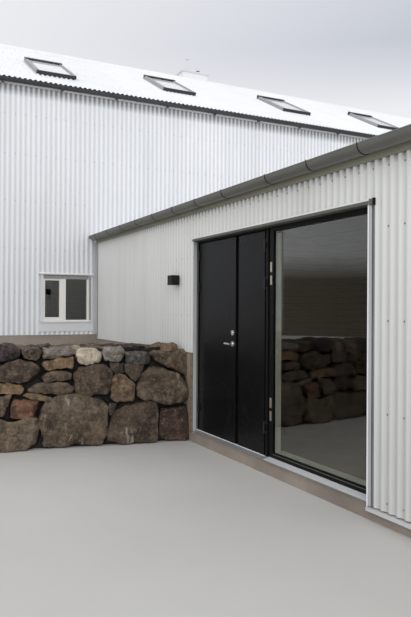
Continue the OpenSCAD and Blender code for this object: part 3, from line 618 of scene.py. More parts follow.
# Long walls take the coats with painted shade under their eaves, gables the plain coats
for where, coat, eaves, runs in (
        ("tall_front", "tall_sheet_white", "_eaves", [(wall_place(tall.place), tall_front, 11)]),
        ("tall_back", "tall_sheet_white", "_eaves", [(wall_place(tall.far), tall_back, 12)]),
        ("tall_gable", "tall_sheet_white", "",
         [(place, gable_regions(tall, TALL_BASE_Z), 13) for place in tall_gables]),
        ("entry_front", "entry_sheet_grey", "_eaves", [(wall_place(entry.place), entry_front, 14)]),
        ("entry_back", "entry_sheet_grey", "_eaves", [(wall_place(entry.far), entry_back, 15)]),
        ("entry_gable", "entry_sheet_grey", "", [(entry_gable, gable_regions(entry, ENTRY_BASE_Z), 16)])):
    skin(f"{where}_sheets", coat + eaves, f"{where}_cladding", runs)

# Roof sheets, cut round the roof windows and the chimney. A roof window's lower corner lies at
# (a, way up the slope)
SKYLIGHTS = [(2.495, 0.65), (4.86, 1.12), (7.42, 1.07), (9.80, 1.00)]
SKY_W, SKY_L, SKY_H, SKY_BAR = 0.64, 1.18, 0.072, 0.046
CHIMNEY_A, CHIMNEY_B = (6.333, 6.953), (3.29, 3.74)
RIDGE_GAP = 0.004
sky_holes = [(a, a + SKY_W, s, s + SKY_L) for a, s in SKYLIGHTS]
chimney_hole = (*CHIMNEY_A, *[tall.up_slope(tall.width - b) for b in CHIMNEY_B[::-1]])
for wing, end, seed, holes in (
        (tall, tall.length + VERGE, 21, (sky_holes, sky_holes + [chimney_hole])),
        (entry, entry.length + 0.015, 22, ((), ()))):
    for side, facing, side_holes in zip(wing.sides, ("front", "back"), holes):
        regions = around([(-VERGE, end, 0.0, wing.slope - RIDGE_GAP)], side_holes)
        skin(f"{wing.name}_roof_sheets_{facing}", "roof_sheet_white",
             f"{wing.name}_sheet_{facing}", [(wing.on_slope(side), regions, seed)])

# Screws, kept away from the edges of holes and from the line of a gable's top
SCREW = np.array([[0.0078, 0.0], [0.0078, 0.0018], [0.0052, 0.0024], [0.0048, 0.0056], [0.0022, 0.007]])
EDGE_CLEAR, FOOT_CLEAR = 0.02, 0.05


def valleys(u0, u1):
    """Every second valley between u0 and u1."""
    k = np.arange(math.ceil(u0 / RIB + 0.5), math.floor(u1 / RIB + 0.5) + 1)
    return (k[k % 2 == 0] - 0.5) * RIB


def screws(place, us, vs, holes=()):
    """Rounded screw heads on washers, standing in the valleys at every u and v clear of the holes."""
    spots = [(u, v) for u in us for v in vs
             if not any(h[0] - EDGE_CLEAR < u < h[1] + EDGE_CLEAR and
                        h[2] - FOOT_CLEAR < v < h[3] + EDGE_CLEAR for h in holes)]
    return [turned(place, spot, SCREW + [0, SKIN - RIB_DEPTH], 8) for spot in spots]


def gable_screws(place, wing, rows):
    """Screws in a gable's valleys, as far up as the line of its top lets them."""
    top = gable_top(wing)
    return [screw for u in valleys(0.1, wing.width - 0.1)
            for screw in screws(place, [u], [v for v in rows if v < top(u) - FOOT_CLEAR])]


# Heights of the rows of screws on the walls, and the stretches that have none
TALL_ROWS = (1.09, 1.70, 2.36, 3.08, 3.78, 4.38)
ENTRY_ROWS = (0.16, 0.76, 1.39, 2.03)
tall_valleys, entry_valleys = valleys(0.1, tall.length - 0.1), valleys(0.1, entry.length - 0.05)
behind_entry = [(ROOF_A0, ROOF_A1, 0.0, 3.45)]
door_zone = [(CHANNEL_A, OPENING[1], 0.0, HEAD_Z), (OPENING[1], entry.length, 0.0, 1.02)]
heads = screws(wall_place(tall.place), tall_valleys, TALL_ROWS, tall_holes + behind_entry)
heads += screws(wall_place(tall.far), tall_valleys, TALL_ROWS, tall_holes)
piece("tall_wall_screws", heads, "screw_white", smooth=35)
heads = [screw for place in tall_gables for screw in gable_screws(place, tall, (*TALL_ROWS, 4.9, 5.5, 6.1))]
heads += gable_screws(entry_gable, entry, (*ENTRY_ROWS, 2.6))
piece("gable_screws", heads, "screw_white", smooth=35)
heads = screws(wall_place(entry.place), entry_valleys, (*ENTRY_ROWS, 2.44), door_zone)
heads += screws(wall_place(entry.far), entry_valleys, (*ENTRY_ROWS, 2.44), entry_holes)
piece("entry_wall_screws", heads, "screw_grey", smooth=35)
for wing, end, rows, holes in (
        (tall, tall.length, (0.08, 0.72, 1.36, 2.0, 2.64, 3.28), sky_holes),
        (entry, entry.length - 0.1, (0.08, 0.7, 1.32, 1.94, 2.5), ())):
    heads = [screw for side in wing.sides
             for screw in screws(wing.on_slope(side), valleys(0, end), rows, holes)]
    piece(f"{wing.name}_roof_screws", heads, "screw_white", smooth=35)

# Gutters
GUTTER_BACK = -0.024
GUTTER_SHEET = 0.0014
BEAD_R = 0.0075
END_CAP = 0.006
STRAP_W = 0.025
SLEEVE_HALF = 0.035


def arc(radius, start, end, steps, centre=(0.0, 0.0)):
    """Points on a circle about centre, from the angle start to the angle end in degrees."""
    t = np.radians(np.linspace(start, end, steps))
    return np.stack([centre[0] + radius * np.cos(t), centre[1] + radius * np.sin(t)], -1)


def band(outer, inner, start, end, steps, centre=(0.0, 0.0)):
    """A bent strip's profile: out along the outer arc and back along the inner one."""
    return np.concatenate([arc(outer, start, end, steps, centre), arc(inner, end, start, steps, centre)])


def gutter(side, r, a0, a1, lip_z, straps, sleeves):
    """Half-round trough: a half circle of thin sheet with a rolled bead on its front lip, capped
    at both ends, sleeved where lengths meet, and held by straps bent round it."""
    lip = (-r + 0.0045, 0.001)
    trough = band(r, r - GUTTER_SHEET, 360, 180, 33)
    bead = arc(BEAD_R, 0, 360, 13, lip)[:-1]
    end_plate = np.concatenate([arc(r + 0.001, 180, 360, 33), [[r + 0.001, 0.002], [-r - 0.001, 0.002]]])
    sleeve = band(r + 0.0018, r + 0.0002, 360, 180, 33)
    outer, inner = r + 0.0038, r + 0.0004
    strap = np.concatenate([band(outer, inner, 360, 176, 41), [[inner, 0.02], [outer, 0.02]]])
    hook = band(0.0083, 0.0076, 190, 20, 13, lip)
    lengths = [(trough, a0, a1), (bead, a0, a1)]
    lengths += [(end_plate, a, a + END_CAP) for a in (a0 - 0.0005, a1 - 0.0055)]
    lengths += [(sleeve, a - SLEEVE_HALF, a + SLEEVE_HALF) for a in sleeves]
    lengths += [(profile, a, a + STRAP_W) for a in straps for profile in (strap, hook)]
    return [run(side, profile + [GUTTER_BACK - r, lip_z], start, end) for profile, start, end in lengths]


TALL_R, TALL_LIP_Z = 0.047, 4.866
TALL_STRAPS = 0.12 + 0.881 * np.arange(15)
TALL_SLEEVES = (4.02, 8.02, 12.02)
parts = []
for side in tall.sides:
    parts += gutter(side, TALL_R, -VERGE, tall.length + VERGE, TALL_LIP_Z, TALL_STRAPS, TALL_SLEEVES)
    parts += [box(side, (a - 0.008, -0.090, TALL_LIP_Z - 0.070), (a + 0.033, -0.052, TALL_LIP_Z - 0.0452),
                  0.002) for a in TALL_STRAPS]
piece("tall_half_round_gutters", parts, "gutter_black", replaces=["tall_gutters"], smooth=35)

ENTRY_STRAPS = np.concatenate([0.49 + 0.59 * np.arange(8), 5.41 + 0.59 * np.arange(8)])
ENTRY_R, ENTRY_LIP_Z = 0.0655, 2.59
# Painted shadow: a black band beside each strap of the entry gutters
strap_shadow_band = band(ENTRY_R + 0.0046, ENTRY_R + 0.0004, 360, 170, 41) + [GUTTER_BACK - ENTRY_R, ENTRY_LIP_Z]
parts, edges = [], []
for side in entry.sides:
    parts += gutter(side, ENTRY_R, -VERGE, entry.length - 0.10, ENTRY_LIP_Z, ENTRY_STRAPS, ())
    edges += [run(side, strap_shadow_band, a - 0.006, a) for a in ENTRY_STRAPS]
piece("entry_half_round_gutters", parts, "gutter_grey", replaces=["entry_gutters"], smooth=35)
piece("entry_gutter_strap_shadows", edges, "hinge_black", smooth=35)

# Roof: closers under the ridge, covers of the roof windows' sides, hoods over their tops, and a
# black ring under the short flue's cowl, painted as the shadow there
CLOSER_DOWN, CLOSER_W = 0.168, 0.03
for wing, end in ((tall, tall.length + VERGE), (entry, entry.length)):
    foot = wing.slope - CLOSER_DOWN
    closers = [box(wing.on_slope(side), (-VERGE + 0.002, foot, 0.001),
                   (end - 0.002, foot + CLOSER_W, SKIN + 0.001)) for side in wing.sides]
    piece(f"ridge_closers_{wing.name}", closers, "roof_sheet_white")

# A cover wraps a side bar's outer face and top, COVER proud, and turns down over its inner edge
COVER, COVER_TURN, COVER_FOOT = 0.002, 0.013, 0.012
cover_u = np.array([-COVER, -COVER, SKY_BAR + COVER, SKY_BAR + COVER, SKY_BAR, SKY_BAR, 0, 0])
cover_n = SKY_H + np.array([0, COVER, COVER, -COVER_TURN, -COVER_TURN, 0, 0, 0])
cover_n[[0, -1]] = COVER_FOOT
covers, hoods = [], []
for side in tall.sides:
    slope = tall.on_slope(side)
    for a, foot in SKYLIGHTS:
        top = foot + SKY_L
        for turn, start in ((1, a), (-1, a + SKY_W)):
            covers.append(tube([slope(start + turn * cover_u, v, cover_n)
                                for v in (foot + SKY_BAR, top - SKY_BAR)]))
        hoods.append(box(slope, (a - 0.004, top - 0.085, SKY_H - 0.030),
                         (a + SKY_W + 0.004, top + 0.006, SKY_H + 0.018), 0.003))
piece("skylight_side_covers", covers, "cover_grey")
piece("skylight_hoods", hoods, "roof_window_metal")
FLUE_AT = (CHIMNEY_A[0] + 0.482, sum(CHIMNEY_B) / 2)
FLUE_RING_R, FLUE_RING_Z = 0.038, (6.922, 6.955)
flue_shadow_ring = turned(tall.place, FLUE_AT, [(FLUE_RING_R, z) for z in FLUE_RING_Z])
piece("flue_cowl_shadow", [flue_shadow_ring], "frame_black", smooth=35)

# Doors and large window, set back by REVEAL. The head's trim stands HEAD_OUT out of the wall and runs
# from HEAD_A0 to HEAD_A1. A post from POST_A0 to POST_A1 parts the window from the doors
REVEAL = 0.060
HEAD_OUT = 0.015
HEAD_A0, HEAD_A1 = 3.478, 6.329
ACTIVE_HINGE_A, PASSIVE_HINGE_A = 6.297, 4.943
HINGE_Z = (0.400, 1.700, 2.040)
HINGE_B = REVEAL - 0.009
SLEEVE_R, SLEEVE_H = 0.0098, 0.0596
POST_A1 = PASSIVE_HINGE_A - 0.010
POST_A0 = POST_A1 - 0.073
PLATE_Z = ((1.795, 1.884), (1.680, 1.764), (0.588, 0.677), (0.473, 0.558))


def door_wall(lo, hi, edge=0.0):
    """A block on the door wall, from corner lo to corner hi as (a, b, z)."""
    return box(entry.place, lo, hi, edge)


# Painted shade: a dark grey plate under the door head's flashing, and its front drop in the same grey
soffit = door_wall((OPENING[0] + 0.003, 0.0025 - HEAD_OUT, HEAD_Z - 0.0035),
                   (OPENING[1] - 0.003, REVEAL, HEAD_Z - 0.0022))
lip = door_wall((HEAD_A0, -HEAD_OUT - 0.0009, HEAD_Z - 0.0025), (HEAD_A1, 0.0001 - HEAD_OUT, HEAD_Z + 0.020))
cap_front = door_wall((HEAD_A0 - 0.038, -HEAD_OUT - 0.001, HEAD_Z - 0.010),
                      (HEAD_A0 - 0.002, 0.002, HEAD_Z + 0.032), 0.002)
piece("door_head_soffit", [soffit, lip, cap_front], "soffit_grey")
cap_end = door_wall((HEAD_A0 - 0.054, -HEAD_OUT - 0.0015, HEAD_Z - 0.014),
                    (HEAD_A0 - 0.038, 0.002, HEAD_Z + 0.036), 0.002)
gasket = door_wall((OPENING[0] + 0.052, REVEAL + 0.039, 2.138), (POST_A0 - 0.070, REVEAL + 0.049, 2.1585))
piece("window_head_gasket", [cap_end, gasket], "frame_black")
plates = [door_wall((POST_A0 - 0.030, REVEAL - 0.0025, low), (POST_A0, REVEAL - 0.0002, high), 0.0008)
          for low, high in PLATE_Z]
piece("frame_joint_plates", plates, "plate_steel")

# Painted highlight: the threshold's nose, a thin strip in white along the doors' foot
nose_highlight = run(entry.place, [(0.0440, 0.1435), (0.0585, 0.1435), (0.0585, 0.1462), (0.0452, 0.1456)],
           POST_A1 + 0.002, OPENING[1] - 0.005)
corner = door_wall((OPENING[0] - 0.011, -0.0032, 0.096), (OPENING[0] + 0.0006, -0.0019, 2.196))
window_heads = [box(side, (a - 0.02, -0.014, WINDOW_TOP_Z + 0.014),
                    (a + WINDOW_W + 0.02, 0.0, WINDOW_TOP_Z + 0.027)) for side, a in small_windows]
# White trims atop the tall wing's wall sheets: partly real trim, partly painted light against the gutter's
# shade
eave_trim_highlights = [box(side, (0.045, -0.0016, tall.eave - 0.088), (tall.length - 0.045, 0.0004, tall.eave - 0.050))
            for side in tall.sides]
piece("white_edges", [nose_highlight, corner, *window_heads, *eave_trim_highlights], "edge_white")
upturn = door_wall((HEAD_A0, -HEAD_OUT - 0.0006, HEAD_Z + 0.0202), (HEAD_A1, 0.002, HEAD_Z + 0.034))
piece("door_head_upturn", [upturn], "trim_white")

ledge = run(entry.place, [(-0.0135, 0.0690), (-0.0121, 0.0690), (-0.0121, 0.0932), (0.0190, 0.0932),
                          (0.0190, 0.0944), (-0.0135, 0.0944)], 0.022, OPENING[0] - 0.002)
capping = run(entry.place, [(-0.0084, 0.1336), (0.0598, 0.1488), (0.0598, 0.1500), (-0.0084, 0.1348)],
              OPENING[0] + 0.003, POST_A0 - 0.002)
piece("sill_edges", [ledge, capping], "ledge_pale")
# Painted shade: a dark grey strip deep in the doors' jamb
jamb_shade = door_wall((OPENING[1] - 0.0034, REVEAL - 0.0200, 0.150),
                      (OPENING[1] - 0.0021, REVEAL - 0.0005, HEAD_Z - 0.005))
piece("door_jamb_shade", [jamb_shade], "soffit_grey")
# Painted highlight: a grey line along the black bottom rail, the light on a step of its profile
rail_step_highlight = door_wall((OPENING[0] + 0.056, REVEAL - 0.0008, 0.180), (POST_A0 - 0.052, REVEAL + 0.0003, 0.185))
piece("bottom_rail_highlight", [rail_step_highlight], "soffit_grey")
for leaf, hinge_a in (("active", ACTIVE_HINGE_A), ("passive", PASSIVE_HINGE_A)):
    sleeves = [turned(entry.place, (hinge_a, HINGE_B), [(SLEEVE_R, z + SLEEVE_H * k) for k in (-0.5, 0.5)])
               for z in HINGE_Z]
    piece(f"{leaf}_hinge_sleeves", sleeves, "hinge_black", body=f"{leaf}_door", smooth=35)
edge_strip = door_wall((OPENING[1] + 0.018, -0.004, ENTRY_BASE_Z + 0.001),
                       (OPENING[1] + 0.070, SKIN - 0.0005, STEM_Z - 0.006), 0.002)
piece("plinth_edge_board", [edge_strip], "edge_board")
# Painted shade: grey strips across each small window's head under its hood, and down its right side
shade_strips = []
for side, a in small_windows:
    shade_strips.append(box(side, (a + 0.041, 0.0196, WINDOW_Z + 0.690), (a + 0.749, 0.0218, WINDOW_Z + 0.7525)))
    shade_strips.append(box(side, (a + 0.752, -0.0014, WINDOW_Z + 0.050), (a + 0.786, -0.0002, WINDOW_Z + 0.745)))
piece("small_window_shade_bands", shade_strips, "shade_grey")

# Retaining wall: its face starts at the door wall, turned a little away from square, and leans back
STONE_H = 1.03
STONE_T = 0.80
BATTER = 0.110 / STONE_H
TURN = math.radians(8.5)
WALL_LENGTH = ENTRY_A0 / math.cos(TURN)
ALONG = np.array([-math.cos(TURN), math.sin(TURN)])
OUT = np.array([-math.sin(TURN), -math.cos(TURN)])
FACE_FOOT = np.array([ENTRY_A0 - ORIGIN_X, 6.45 - ORIGIN_Y])
END_FOOT = FACE_FOOT + ALONG * WALL_LENGTH


def on_wall(s, out, z):
    """s along the wall from the door wall, out in front of the foot of its face, and z up."""
    return at(FACE_FOOT[0] + s * ALONG[0] + out * OUT[0], FACE_FOOT[1] + s * ALONG[1] + out * OUT[1], z)


def face_place(s, z, q):
    """s along the wall's face, z up, q out of the leaning face."""
    return on_wall(s, q - BATTER * z, z)


def back_place(s, z, q):
    """s along the wall's upright back, z up, q out of it."""
    return on_wall(s, -STONE_T - q, z)


def top_place(s, t, q):
    """s along the wall's top, t back from the top of its face, q up."""
    return on_wall(s, -BATTER * STONE_H - t, STONE_H + q)


def end_place(t, z, q):
    """The wall's free end: t back from its face, z up, q out of the end."""
    return at(END_FOOT[0] - q, END_FOOT[1] + BATTER * z + t, z)


def lattice_noise(p, cell, seed):
    """Smooth noise: random values on a cubic lattice of that cell size, blended between corners."""
    grid = np.random.default_rng(seed).uniform(-1, 1, (16, 16, 16))
    q = p / cell
    i = np.floor(q).astype(int)
    w = q - i
    w = w * w * (3 - 2 * w)
    total = np.zeros(p.shape[:-1])
    for corner in np.ndindex(2, 2, 2):
        c = np.array(corner)
        share = np.prod(np.where(c == 1, w, 1 - w), -1)
        j = (i + c) % 16
        total += share * grid[j[..., 0], j[..., 1], j[..., 2]]
    return total


def ring_of(outline, count):
    """Points spaced evenly along a closed outline with its corners a little worn, the way out of
    it at each of them, and its middle."""
    p = np.asarray(outline, float)
    closed = np.vstack([p, p[:1]])
    reach = np.r_[0, np.cumsum(np.hypot(*np.diff(closed, axis=0).T))]
    s = np.linspace(0, reach[-1], count, endpoint=False)
    ring = np.stack([np.interp(s, reach, closed[:, k]) for k in (0, 1)], -1)
    for _ in range(2 if count > 100 else 1):
        ring = (np.roll(ring, 1, 0) + 2 * ring + np.roll(ring, -1, 0)) / 4
    middle = ring.mean(0)
    step = np.roll(ring, -1, 0) - np.roll(ring, 1, 0)
    out = np.stack([step[:, 1], -step[:, 0]], -1) / np.hypot(*step.T)[:, None]
    return ring, out * np.sign(((ring - middle) * out).sum()), middle


# How a laid stone differs from its outline: it is grown a little, its edge is rounded, its face bulges,
# and it neither stands further out of the wall than PROUD_LIMIT nor reaches the ground
STONE_GROWTH = 0.005
EDGE_R = 0.015
FACE_BULGE = 0.012
PROUD_LIMIT = 0.055
CLEAR_OF_GROUND = 0.003


def stone(place, outline, seed, steps, front=0.035, depth=0.26, rough=1.0, unshaded_above=0.98):
    """A laid stone. Rings run from the middle of its face out to its outline, round an edge of
    radius r by r sin w outward and r (1 - cos w) back as w goes from 0 to 90 degrees, straight into
    the wall, and closed behind. A few flat breaks are cut off it, and lattice noise of three sizes
    moves each point along its own normal. Its depth, which the finish paints as shade, is 0 on the
    face and rises to 1 in the joint, but stays 0 above the given height, so that the stone's top
    gets no painted shade."""
    rng = np.random.default_rng(seed)
    count, rows = steps
    ring, out, middle = ring_of(outline, count)
    size = np.hypot(*(ring - middle).T).mean()
    ring = ring + STONE_GROWTH * out
    edge = min(EDGE_R, 0.3 * np.hypot(*(ring - middle).T).min())
    w = np.linspace(0, np.pi / 2, 6)[1:]
    to_rim = np.linspace(0, 1, rows)
    share = np.r_[to_rim, np.ones(8), 0]
    turn = np.r_[np.zeros(rows), w, np.full(3, np.pi / 2), np.pi]
    across = np.r_[np.zeros(rows), edge * np.sin(w), np.full(3, edge), 0]
    back = np.r_[-FACE_BULGE * (1 - to_rim ** 2), edge * (1 - np.cos(w)),
                 edge + (depth - edge) * np.array([0.3, 0.6, 1.0]), depth]
    inner = ring - middle - edge * out
    plane = share[:, None, None] * inner[None] + across[:, None, None] * out[None]
    local = np.concatenate([plane, np.broadcast_to(-back[:, None, None], (len(back), count, 1))], -1)
    normal = np.concatenate([np.sin(turn)[:, None, None] * out[None],
                             np.broadcast_to(np.cos(turn)[:, None, None], (len(turn), count, 1))], -1)
    for _ in range(6):
        lean, way = rng.uniform(0.2, 1.0), rng.uniform(0, 2 * np.pi)
        d = np.array([np.sin(lean) * np.cos(way), np.sin(lean) * np.sin(way), np.cos(lean)])
        reach = (local @ d).max() - size * rng.uniform(0.06, 0.24)
        local = local - np.maximum(local @ d - reach, 0)[..., None] * d
    seen = local + rng.uniform(0, 9, 3)
    bumps = sum(height * lattice_noise(seen, cell, seed + k) for k, (height, cell) in
                enumerate(((0.016, size * 0.7), (0.013, size * 0.3), (0.009, 0.045))))
    local = local + normal * (bumps * rough * min(size / 0.16, 1.2))[..., None]
    s = middle[0] + local[..., 0]
    z = np.maximum(middle[1] + local[..., 1], CLEAR_OF_GROUND)
    q = np.minimum(local[..., 2] + front, PROUD_LIMIT)
    # The joint's painted shade, none above the given height
    joint = np.r_[np.zeros(rows), 1 - np.cos(w), np.ones(4)]
    joint = joint[:, None] * np.clip((unshaded_above - z) / 0.05, 0, 1)
    return *tube(place(s, z, q)), joint.reshape(-1)


# The stones of the face as laid: shade, and outline in metres along and up the face
FACE_STONES = [
    (0, [(2.14, 1.07), (1.99, 1.08), (1.84, 1.08), (1.78, 0.99), (1.80, 0.94), (1.91, 0.91),
        (2.16, 0.90)]),
    (0.48, [(1.78, 1.04), (1.60, 1.04), (1.56, 0.99), (1.58, 0.93), (1.63, 0.92), (1.74, 0.94)]),
    (0.27, [(1.55, 1.03), (1.43, 1.03), (1.23, 1.03), (1.21, 0.98), (1.27, 0.96), (1.44, 0.94),
        (1.55, 0.93)]),
    (1, [(1.21, 0.99), (1.17, 1.02), (1.00, 1.03), (0.95, 0.98), (0.94, 0.91), (1.00, 0.88),
        (1.15, 0.87), (1.21, 0.91)]),
    (0.24, [(0.93, 0.97), (0.89, 1.03), (0.71, 1.03), (0.69, 0.97), (0.76, 0.89), (0.92, 0.90)]),
    (0.12, [(0.69, 0.98), (0.55, 0.98), (0.43, 0.97), (0.39, 0.92), (0.43, 0.86), (0.55, 0.86),
        (0.68, 0.88)]),
    (0.56, [(0.38, 0.96), (0.34, 0.98), (0.04, 0.99), (-0.07, 0.95), (-0.07, 0.68), (0.16, 0.78),
        (0.38, 0.90)]),
    (0.43, [(2.16, 0.88), (1.99, 0.88), (1.83, 0.93), (1.68, 0.92), (1.58, 0.87), (1.56, 0.78),
        (1.61, 0.73), (1.70, 0.69), (1.80, 0.68), (1.91, 0.70), (2.14, 0.72)]),
    (0.72, [(1.58, 0.90), (1.41, 0.93), (1.24, 0.95), (1.23, 0.85), (1.28, 0.83), (1.54, 0.82)]),
    (0.5, [(1.59, 0.73), (1.54, 0.77), (1.45, 0.81), (1.27, 0.81), (1.26, 0.71), (1.38, 0.69),
        (1.56, 0.69)]),
    (0.47, [(1.24, 0.80), (1.20, 0.85), (1.04, 0.86), (0.91, 0.87), (0.84, 0.81), (0.83, 0.64),
        (0.89, 0.53), (1.07, 0.52), (1.18, 0.54), (1.24, 0.63), (1.26, 0.72)]),
    (0.36, [(0.86, 0.88), (0.71, 0.87), (0.71, 0.77), (0.80, 0.75), (0.84, 0.81)]),
    (0.41, [(0.70, 0.87), (0.49, 0.86), (0.50, 0.78), (0.58, 0.67), (0.64, 0.71), (0.69, 0.77)]),
    (0.66, [(0.83, 0.72), (0.76, 0.76), (0.68, 0.74), (0.63, 0.69), (0.58, 0.63), (0.61, 0.44),
        (0.79, 0.44), (0.87, 0.47), (0.85, 0.64)]),
    (0.53, [(0.58, 0.58), (0.53, 0.74), (0.41, 0.85), (0.27, 0.82), (0.13, 0.74), (-0.06, 0.64),
        (-0.06, 0.49), (0.05, 0.41), (0.24, 0.43), (0.42, 0.47), (0.58, 0.50)]),
    (0.72, [(2.16, 0.71), (1.91, 0.69), (1.78, 0.67), (1.75, 0.63), (1.76, 0.58), (1.91, 0.58),
        (2.16, 0.59)]),
    (0.52, [(1.72, 0.64), (1.61, 0.69), (1.46, 0.68), (1.31, 0.67), (1.23, 0.61), (1.26, 0.57),
        (1.39, 0.55), (1.58, 0.57), (1.72, 0.60)]),
    (0.63, [(1.76, 0.56), (1.72, 0.59), (1.59, 0.56), (1.47, 0.54), (1.48, 0.50), (1.55, 0.49),
        (1.66, 0.52)]),
    (0.58, [(2.14, 0.57), (1.87, 0.57), (1.90, 0.47), (1.97, 0.35), (2.16, 0.36)]),
    (0.84, [(1.86, 0.54), (1.74, 0.53), (1.61, 0.52), (1.62, 0.41), (1.66, 0.32), (1.89, 0.34),
        (1.88, 0.43)]),
    (0.54, [(1.60, 0.42), (1.55, 0.48), (1.39, 0.54), (1.22, 0.56), (1.06, 0.54), (0.93, 0.52),
        (0.88, 0.43), (0.87, 0.24), (0.91, 0.08), (0.94, 0.01), (1.56, 0.01), (1.58, 0.18),
        (1.60, 0.33)]),
    (0.6, [(2.16, 0.35), (1.96, 0.33), (1.86, 0.30), (1.74, 0.33), (1.61, 0.32), (1.59, 0.23),
        (1.58, 0.01), (2.14, 0.01)]),
    (0.46, [(0.83, 0.39), (0.73, 0.42), (0.49, 0.48), (0.34, 0.43), (0.33, 0.35), (0.34, 0.01),
        (0.91, 0.01), (0.90, 0.11), (0.86, 0.24)]),
    (0.36, [(0.87, 0.45), (0.79, 0.44), (0.83, 0.35), (0.86, 0.31), (0.88, 0.38)]),
    (0.93, [(0.32, 0.38), (0.15, 0.38), (-0.03, 0.41), (-0.03, 0.31), (-0.03, 0.01), (0.32, 0.01)]),
]

# Two small stones lying on the top: shade, middle, reach along and back, and how proud they lie
TOP_STONES = [(0.66, (0.17, 0.10), (0.10, 0.05), 0.045), (1.0, (1.21, 0.12), (0.05, 0.04), 0.03)]


def coursed(width, height, seed, rows):
    """Outlines of stones laid in rough courses: rows of uneven height, each cut into lengths, every
    corner clipped and moved a little."""
    rng = np.random.default_rng(seed)
    out, z = [], 0.0
    heights = np.array(rows) * rng.uniform(0.85, 1.15, len(rows))
    heights *= height / heights.sum()
    for h in heights:
        x = 0.0
        while x < width - 0.08:
            w = min(rng.uniform(1.1, 2.3) * h + 0.04, width - x)
            if width - x - w < 0.14:
                w = width - x
            j = rng.uniform(-0.012, 0.012, 8)
            c = 0.16 * min(w, h)
            across = x + np.array([c, w - c, w, w, w - c, c, 0, 0])
            up = z + np.array([0, 0, c, h - c, h, h, h - c, c]) + j
            out.append((float(rng.uniform(0.34, 0.66)), np.stack([across, up], -1)))
            x += w
        z += h
    return out


parts, tones = [], []
for k, (shade, outline) in enumerate(FACE_STONES):
    big = len(outline) > 8
    parts.append(stone(face_place, outline, 300 + 7 * k, (120, 16) if big else (84, 9)))
    tones.append(shade)
for k, (shade, centre, reach, high) in enumerate(TOP_STONES):
    t = np.linspace(0, 2 * np.pi, 10, endpoint=False)
    ring = np.stack([centre[0] + reach[0] * np.cos(t), centre[1] + reach[1] * np.sin(t)], -1)
    parts.append(stone(top_place, ring, 900 + k, (32, 6), high, 0.09, rough=0.5, unshaded_above=0.0))
    tones.append(shade)
piece("retaining_wall_face_stones", parts, "field_stone", replaces=["retaining_wall"],
      smooth=60, tones=tones)

# The rest of the wall: where the courses start, their width and height, their rows and the stones' form
LEFT_S = 2.15
COURSES = ((face_place, (LEFT_S, 0), WALL_LENGTH - LEFT_S, 1.04, 41, (0.34, 0.2, 0.22, 0.13, 0.14),
            500, {"steps": (48, 6)}),
           (back_place, (0.03, 0), 3.33, 1.0, 42, (0.3, 0.22, 0.2, 0.16, 0.12),
            2000, {"steps": (32, 4), "front": 0.02}),
           (end_place, (0, 0), 0.66, 1.0, 43, (0.32, 0.24, 0.2, 0.14, 0.1),
            3000, {"steps": (36, 5), "front": 0.02}),
           (top_place, (0.03, 0.2), 3.30, 0.46, 44, (0.2, 0.16, 0.18),
            4000, {"steps": (32, 4), "front": 0.01, "depth": 0.16}))
parts, tones = [], []
for place, start, width, height, seed, rows, first_seed, form in COURSES:
    for k, (shade, outline) in enumerate(coursed(width, height, seed, rows)):
        outline = np.maximum(outline + start, [0, 0.005])
        parts.append(stone(place, outline, first_seed + 7 * k, **form))
        tones.append(shade)
piece("retaining_wall_other_stones", parts, "field_stone", smooth=60, tones=tones)

# Hearting: small dark fill behind the stones, seen only through their joints
HEART_FRONT, HEART_BACK, HEART_H = -0.09, -0.71, 0.93
section = np.array([[HEART_FRONT, 0.0], [HEART_BACK, 0.0], [HEART_BACK, HEART_H], [HEART_FRONT, HEART_H]])
ends = [face_place(s, section[:, 1], section[:, 0]) for s in (0.02, WALL_LENGTH - 0.12)]
piece("retaining_wall_hearting", [tube(ends)], "stone_hearting")

# Studio: a pale floor, and a world whose glow lights the house. What the camera, glossy surfaces and
# glass show of it is a pale sky, darker to one side, and glossy surfaces also show a dark band low down
scene = bpy.context.scene
scene.view_settings.view_transform = "Standard"
FLOOR_REACH, FLOOR_CORNERS = 29.0, 96
DARKER_WAY = (0.8947, -0.4466, 0.0)
turn = np.linspace(0, 2 * np.pi, FLOOR_CORNERS, endpoint=False)
mesh = bpy.data.meshes.new("floor")
mesh.from_pydata(at(FLOOR_REACH * np.cos(turn), FLOOR_REACH * np.sin(turn), 0.0).tolist(), [],
                 [list(range(FLOOR_CORNERS))])
floor = bpy.data.objects.new("floor", mesh)
scene.collection.objects.link(floor)
pale = Finish("pale_floor", Roughness=0.9)
pale.colour(pale.mix(pale.spread(pale.noise(0.8, 3), 0.3, 0.7), srgb(196, 193, 189), srgb(202, 199, 195)))
mesh.materials.append(pale.material)

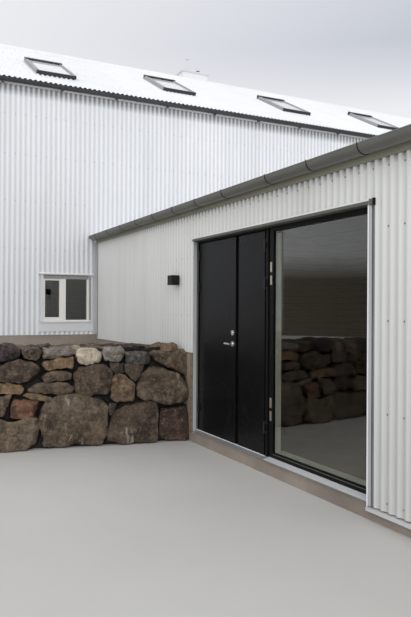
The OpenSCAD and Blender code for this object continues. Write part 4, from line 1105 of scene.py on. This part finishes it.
world = bpy.data.worlds.new("studio")
scene.world = world
world.use_nodes = True
studio = Nodes(world.node_tree)
studio.tree.nodes.clear()
direction = studio.node("ShaderNodeTexCoord").outputs["Generated"]
upward = studio.height_of(direction)
sideways = studio.node("ShaderNodeVectorMath", operation="DOT_PRODUCT")
sideways.inputs[1].default_value = DARKER_WAY
studio.link(direction, sideways.inputs[0])
glow = studio.node("ShaderNodeBackground", Color=(0.95, 0.975, 1.0, 1))
studio.link(studio.spread(upward, 0.0, 1.0, 1.06, 1.00), glow.inputs["Strength"])
shade = studio.mix(studio.spread(sideways.outputs["Value"], -0.35, 0.38),
                   srgb(238, 239, 243), srgb(186, 191, 203))
shade = studio.mix(studio.spread(upward, 0.375, 0.285), shade, srgb(238, 239, 243))
shade = studio.mix(studio.spread(upward, 0.35, 0.75), shade, srgb(246, 247, 250))
ray = studio.node("ShaderNodeLightPath").outputs
low_band = studio.math("MULTIPLY", studio.spread(upward, 0.045, 0.085, 0.9, 0.0), ray["Is Glossy Ray"])
sky = studio.node("ShaderNodeBackground")
studio.link(studio.mix(low_band, shade, srgb(92, 84, 58)), sky.inputs["Color"])
shown = studio.math("MAXIMUM", ray["Is Transmission Ray"], ray["Is Glossy Ray"])
shown = studio.math("MAXIMUM", shown, ray["Is Camera Ray"])
choose = studio.node("ShaderNodeMixShader")
studio.link(shown, choose.inputs["Fac"])
studio.link(glow.outputs["Background"], choose.inputs[1])
studio.link(sky.outputs["Background"], choose.inputs[2])
studio.link(choose.outputs["Shader"], studio.node("ShaderNodeOutputWorld").inputs["Surface"])

# One soft lamp high in front of the house, turned to face the middle of its walls
LAMP, LAMP_TARGET = np.array([-11, -31, 13]), np.array([0, 2, 3])
lamp = bpy.data.lights.new("soft_front", "AREA")
lamp.shape, lamp.size, lamp.energy = "DISK", 18, 2300
lamp_stand = bpy.data.objects.new("soft_front", lamp)
scene.collection.objects.link(lamp_stand)
lamp_stand.location = LAMP
reach = LAMP_TARGET - LAMP
lamp_stand.rotation_euler = (math.atan2(math.hypot(reach[0], reach[1]), -reach[2]), 0,
                             math.atan2(reach[1], reach[0]) - math.pi / 2)

# The eye stands in the yard by the entry wing's near end and looks level toward its doors
camera = bpy.data.cameras.new("view")
camera.sensor_width = 36
camera.lens = 37.47
camera.clip_end = 1000
eye = bpy.data.objects.new("view", camera)
scene.collection.objects.link(eye)
eye.location = (-6.25, -ORIGIN_Y, 1.47)
eye.rotation_euler = [math.radians(v) for v in (89.98, -0.275, -26.526)]
scene.camera = eye

bpy.context.view_layer.update()
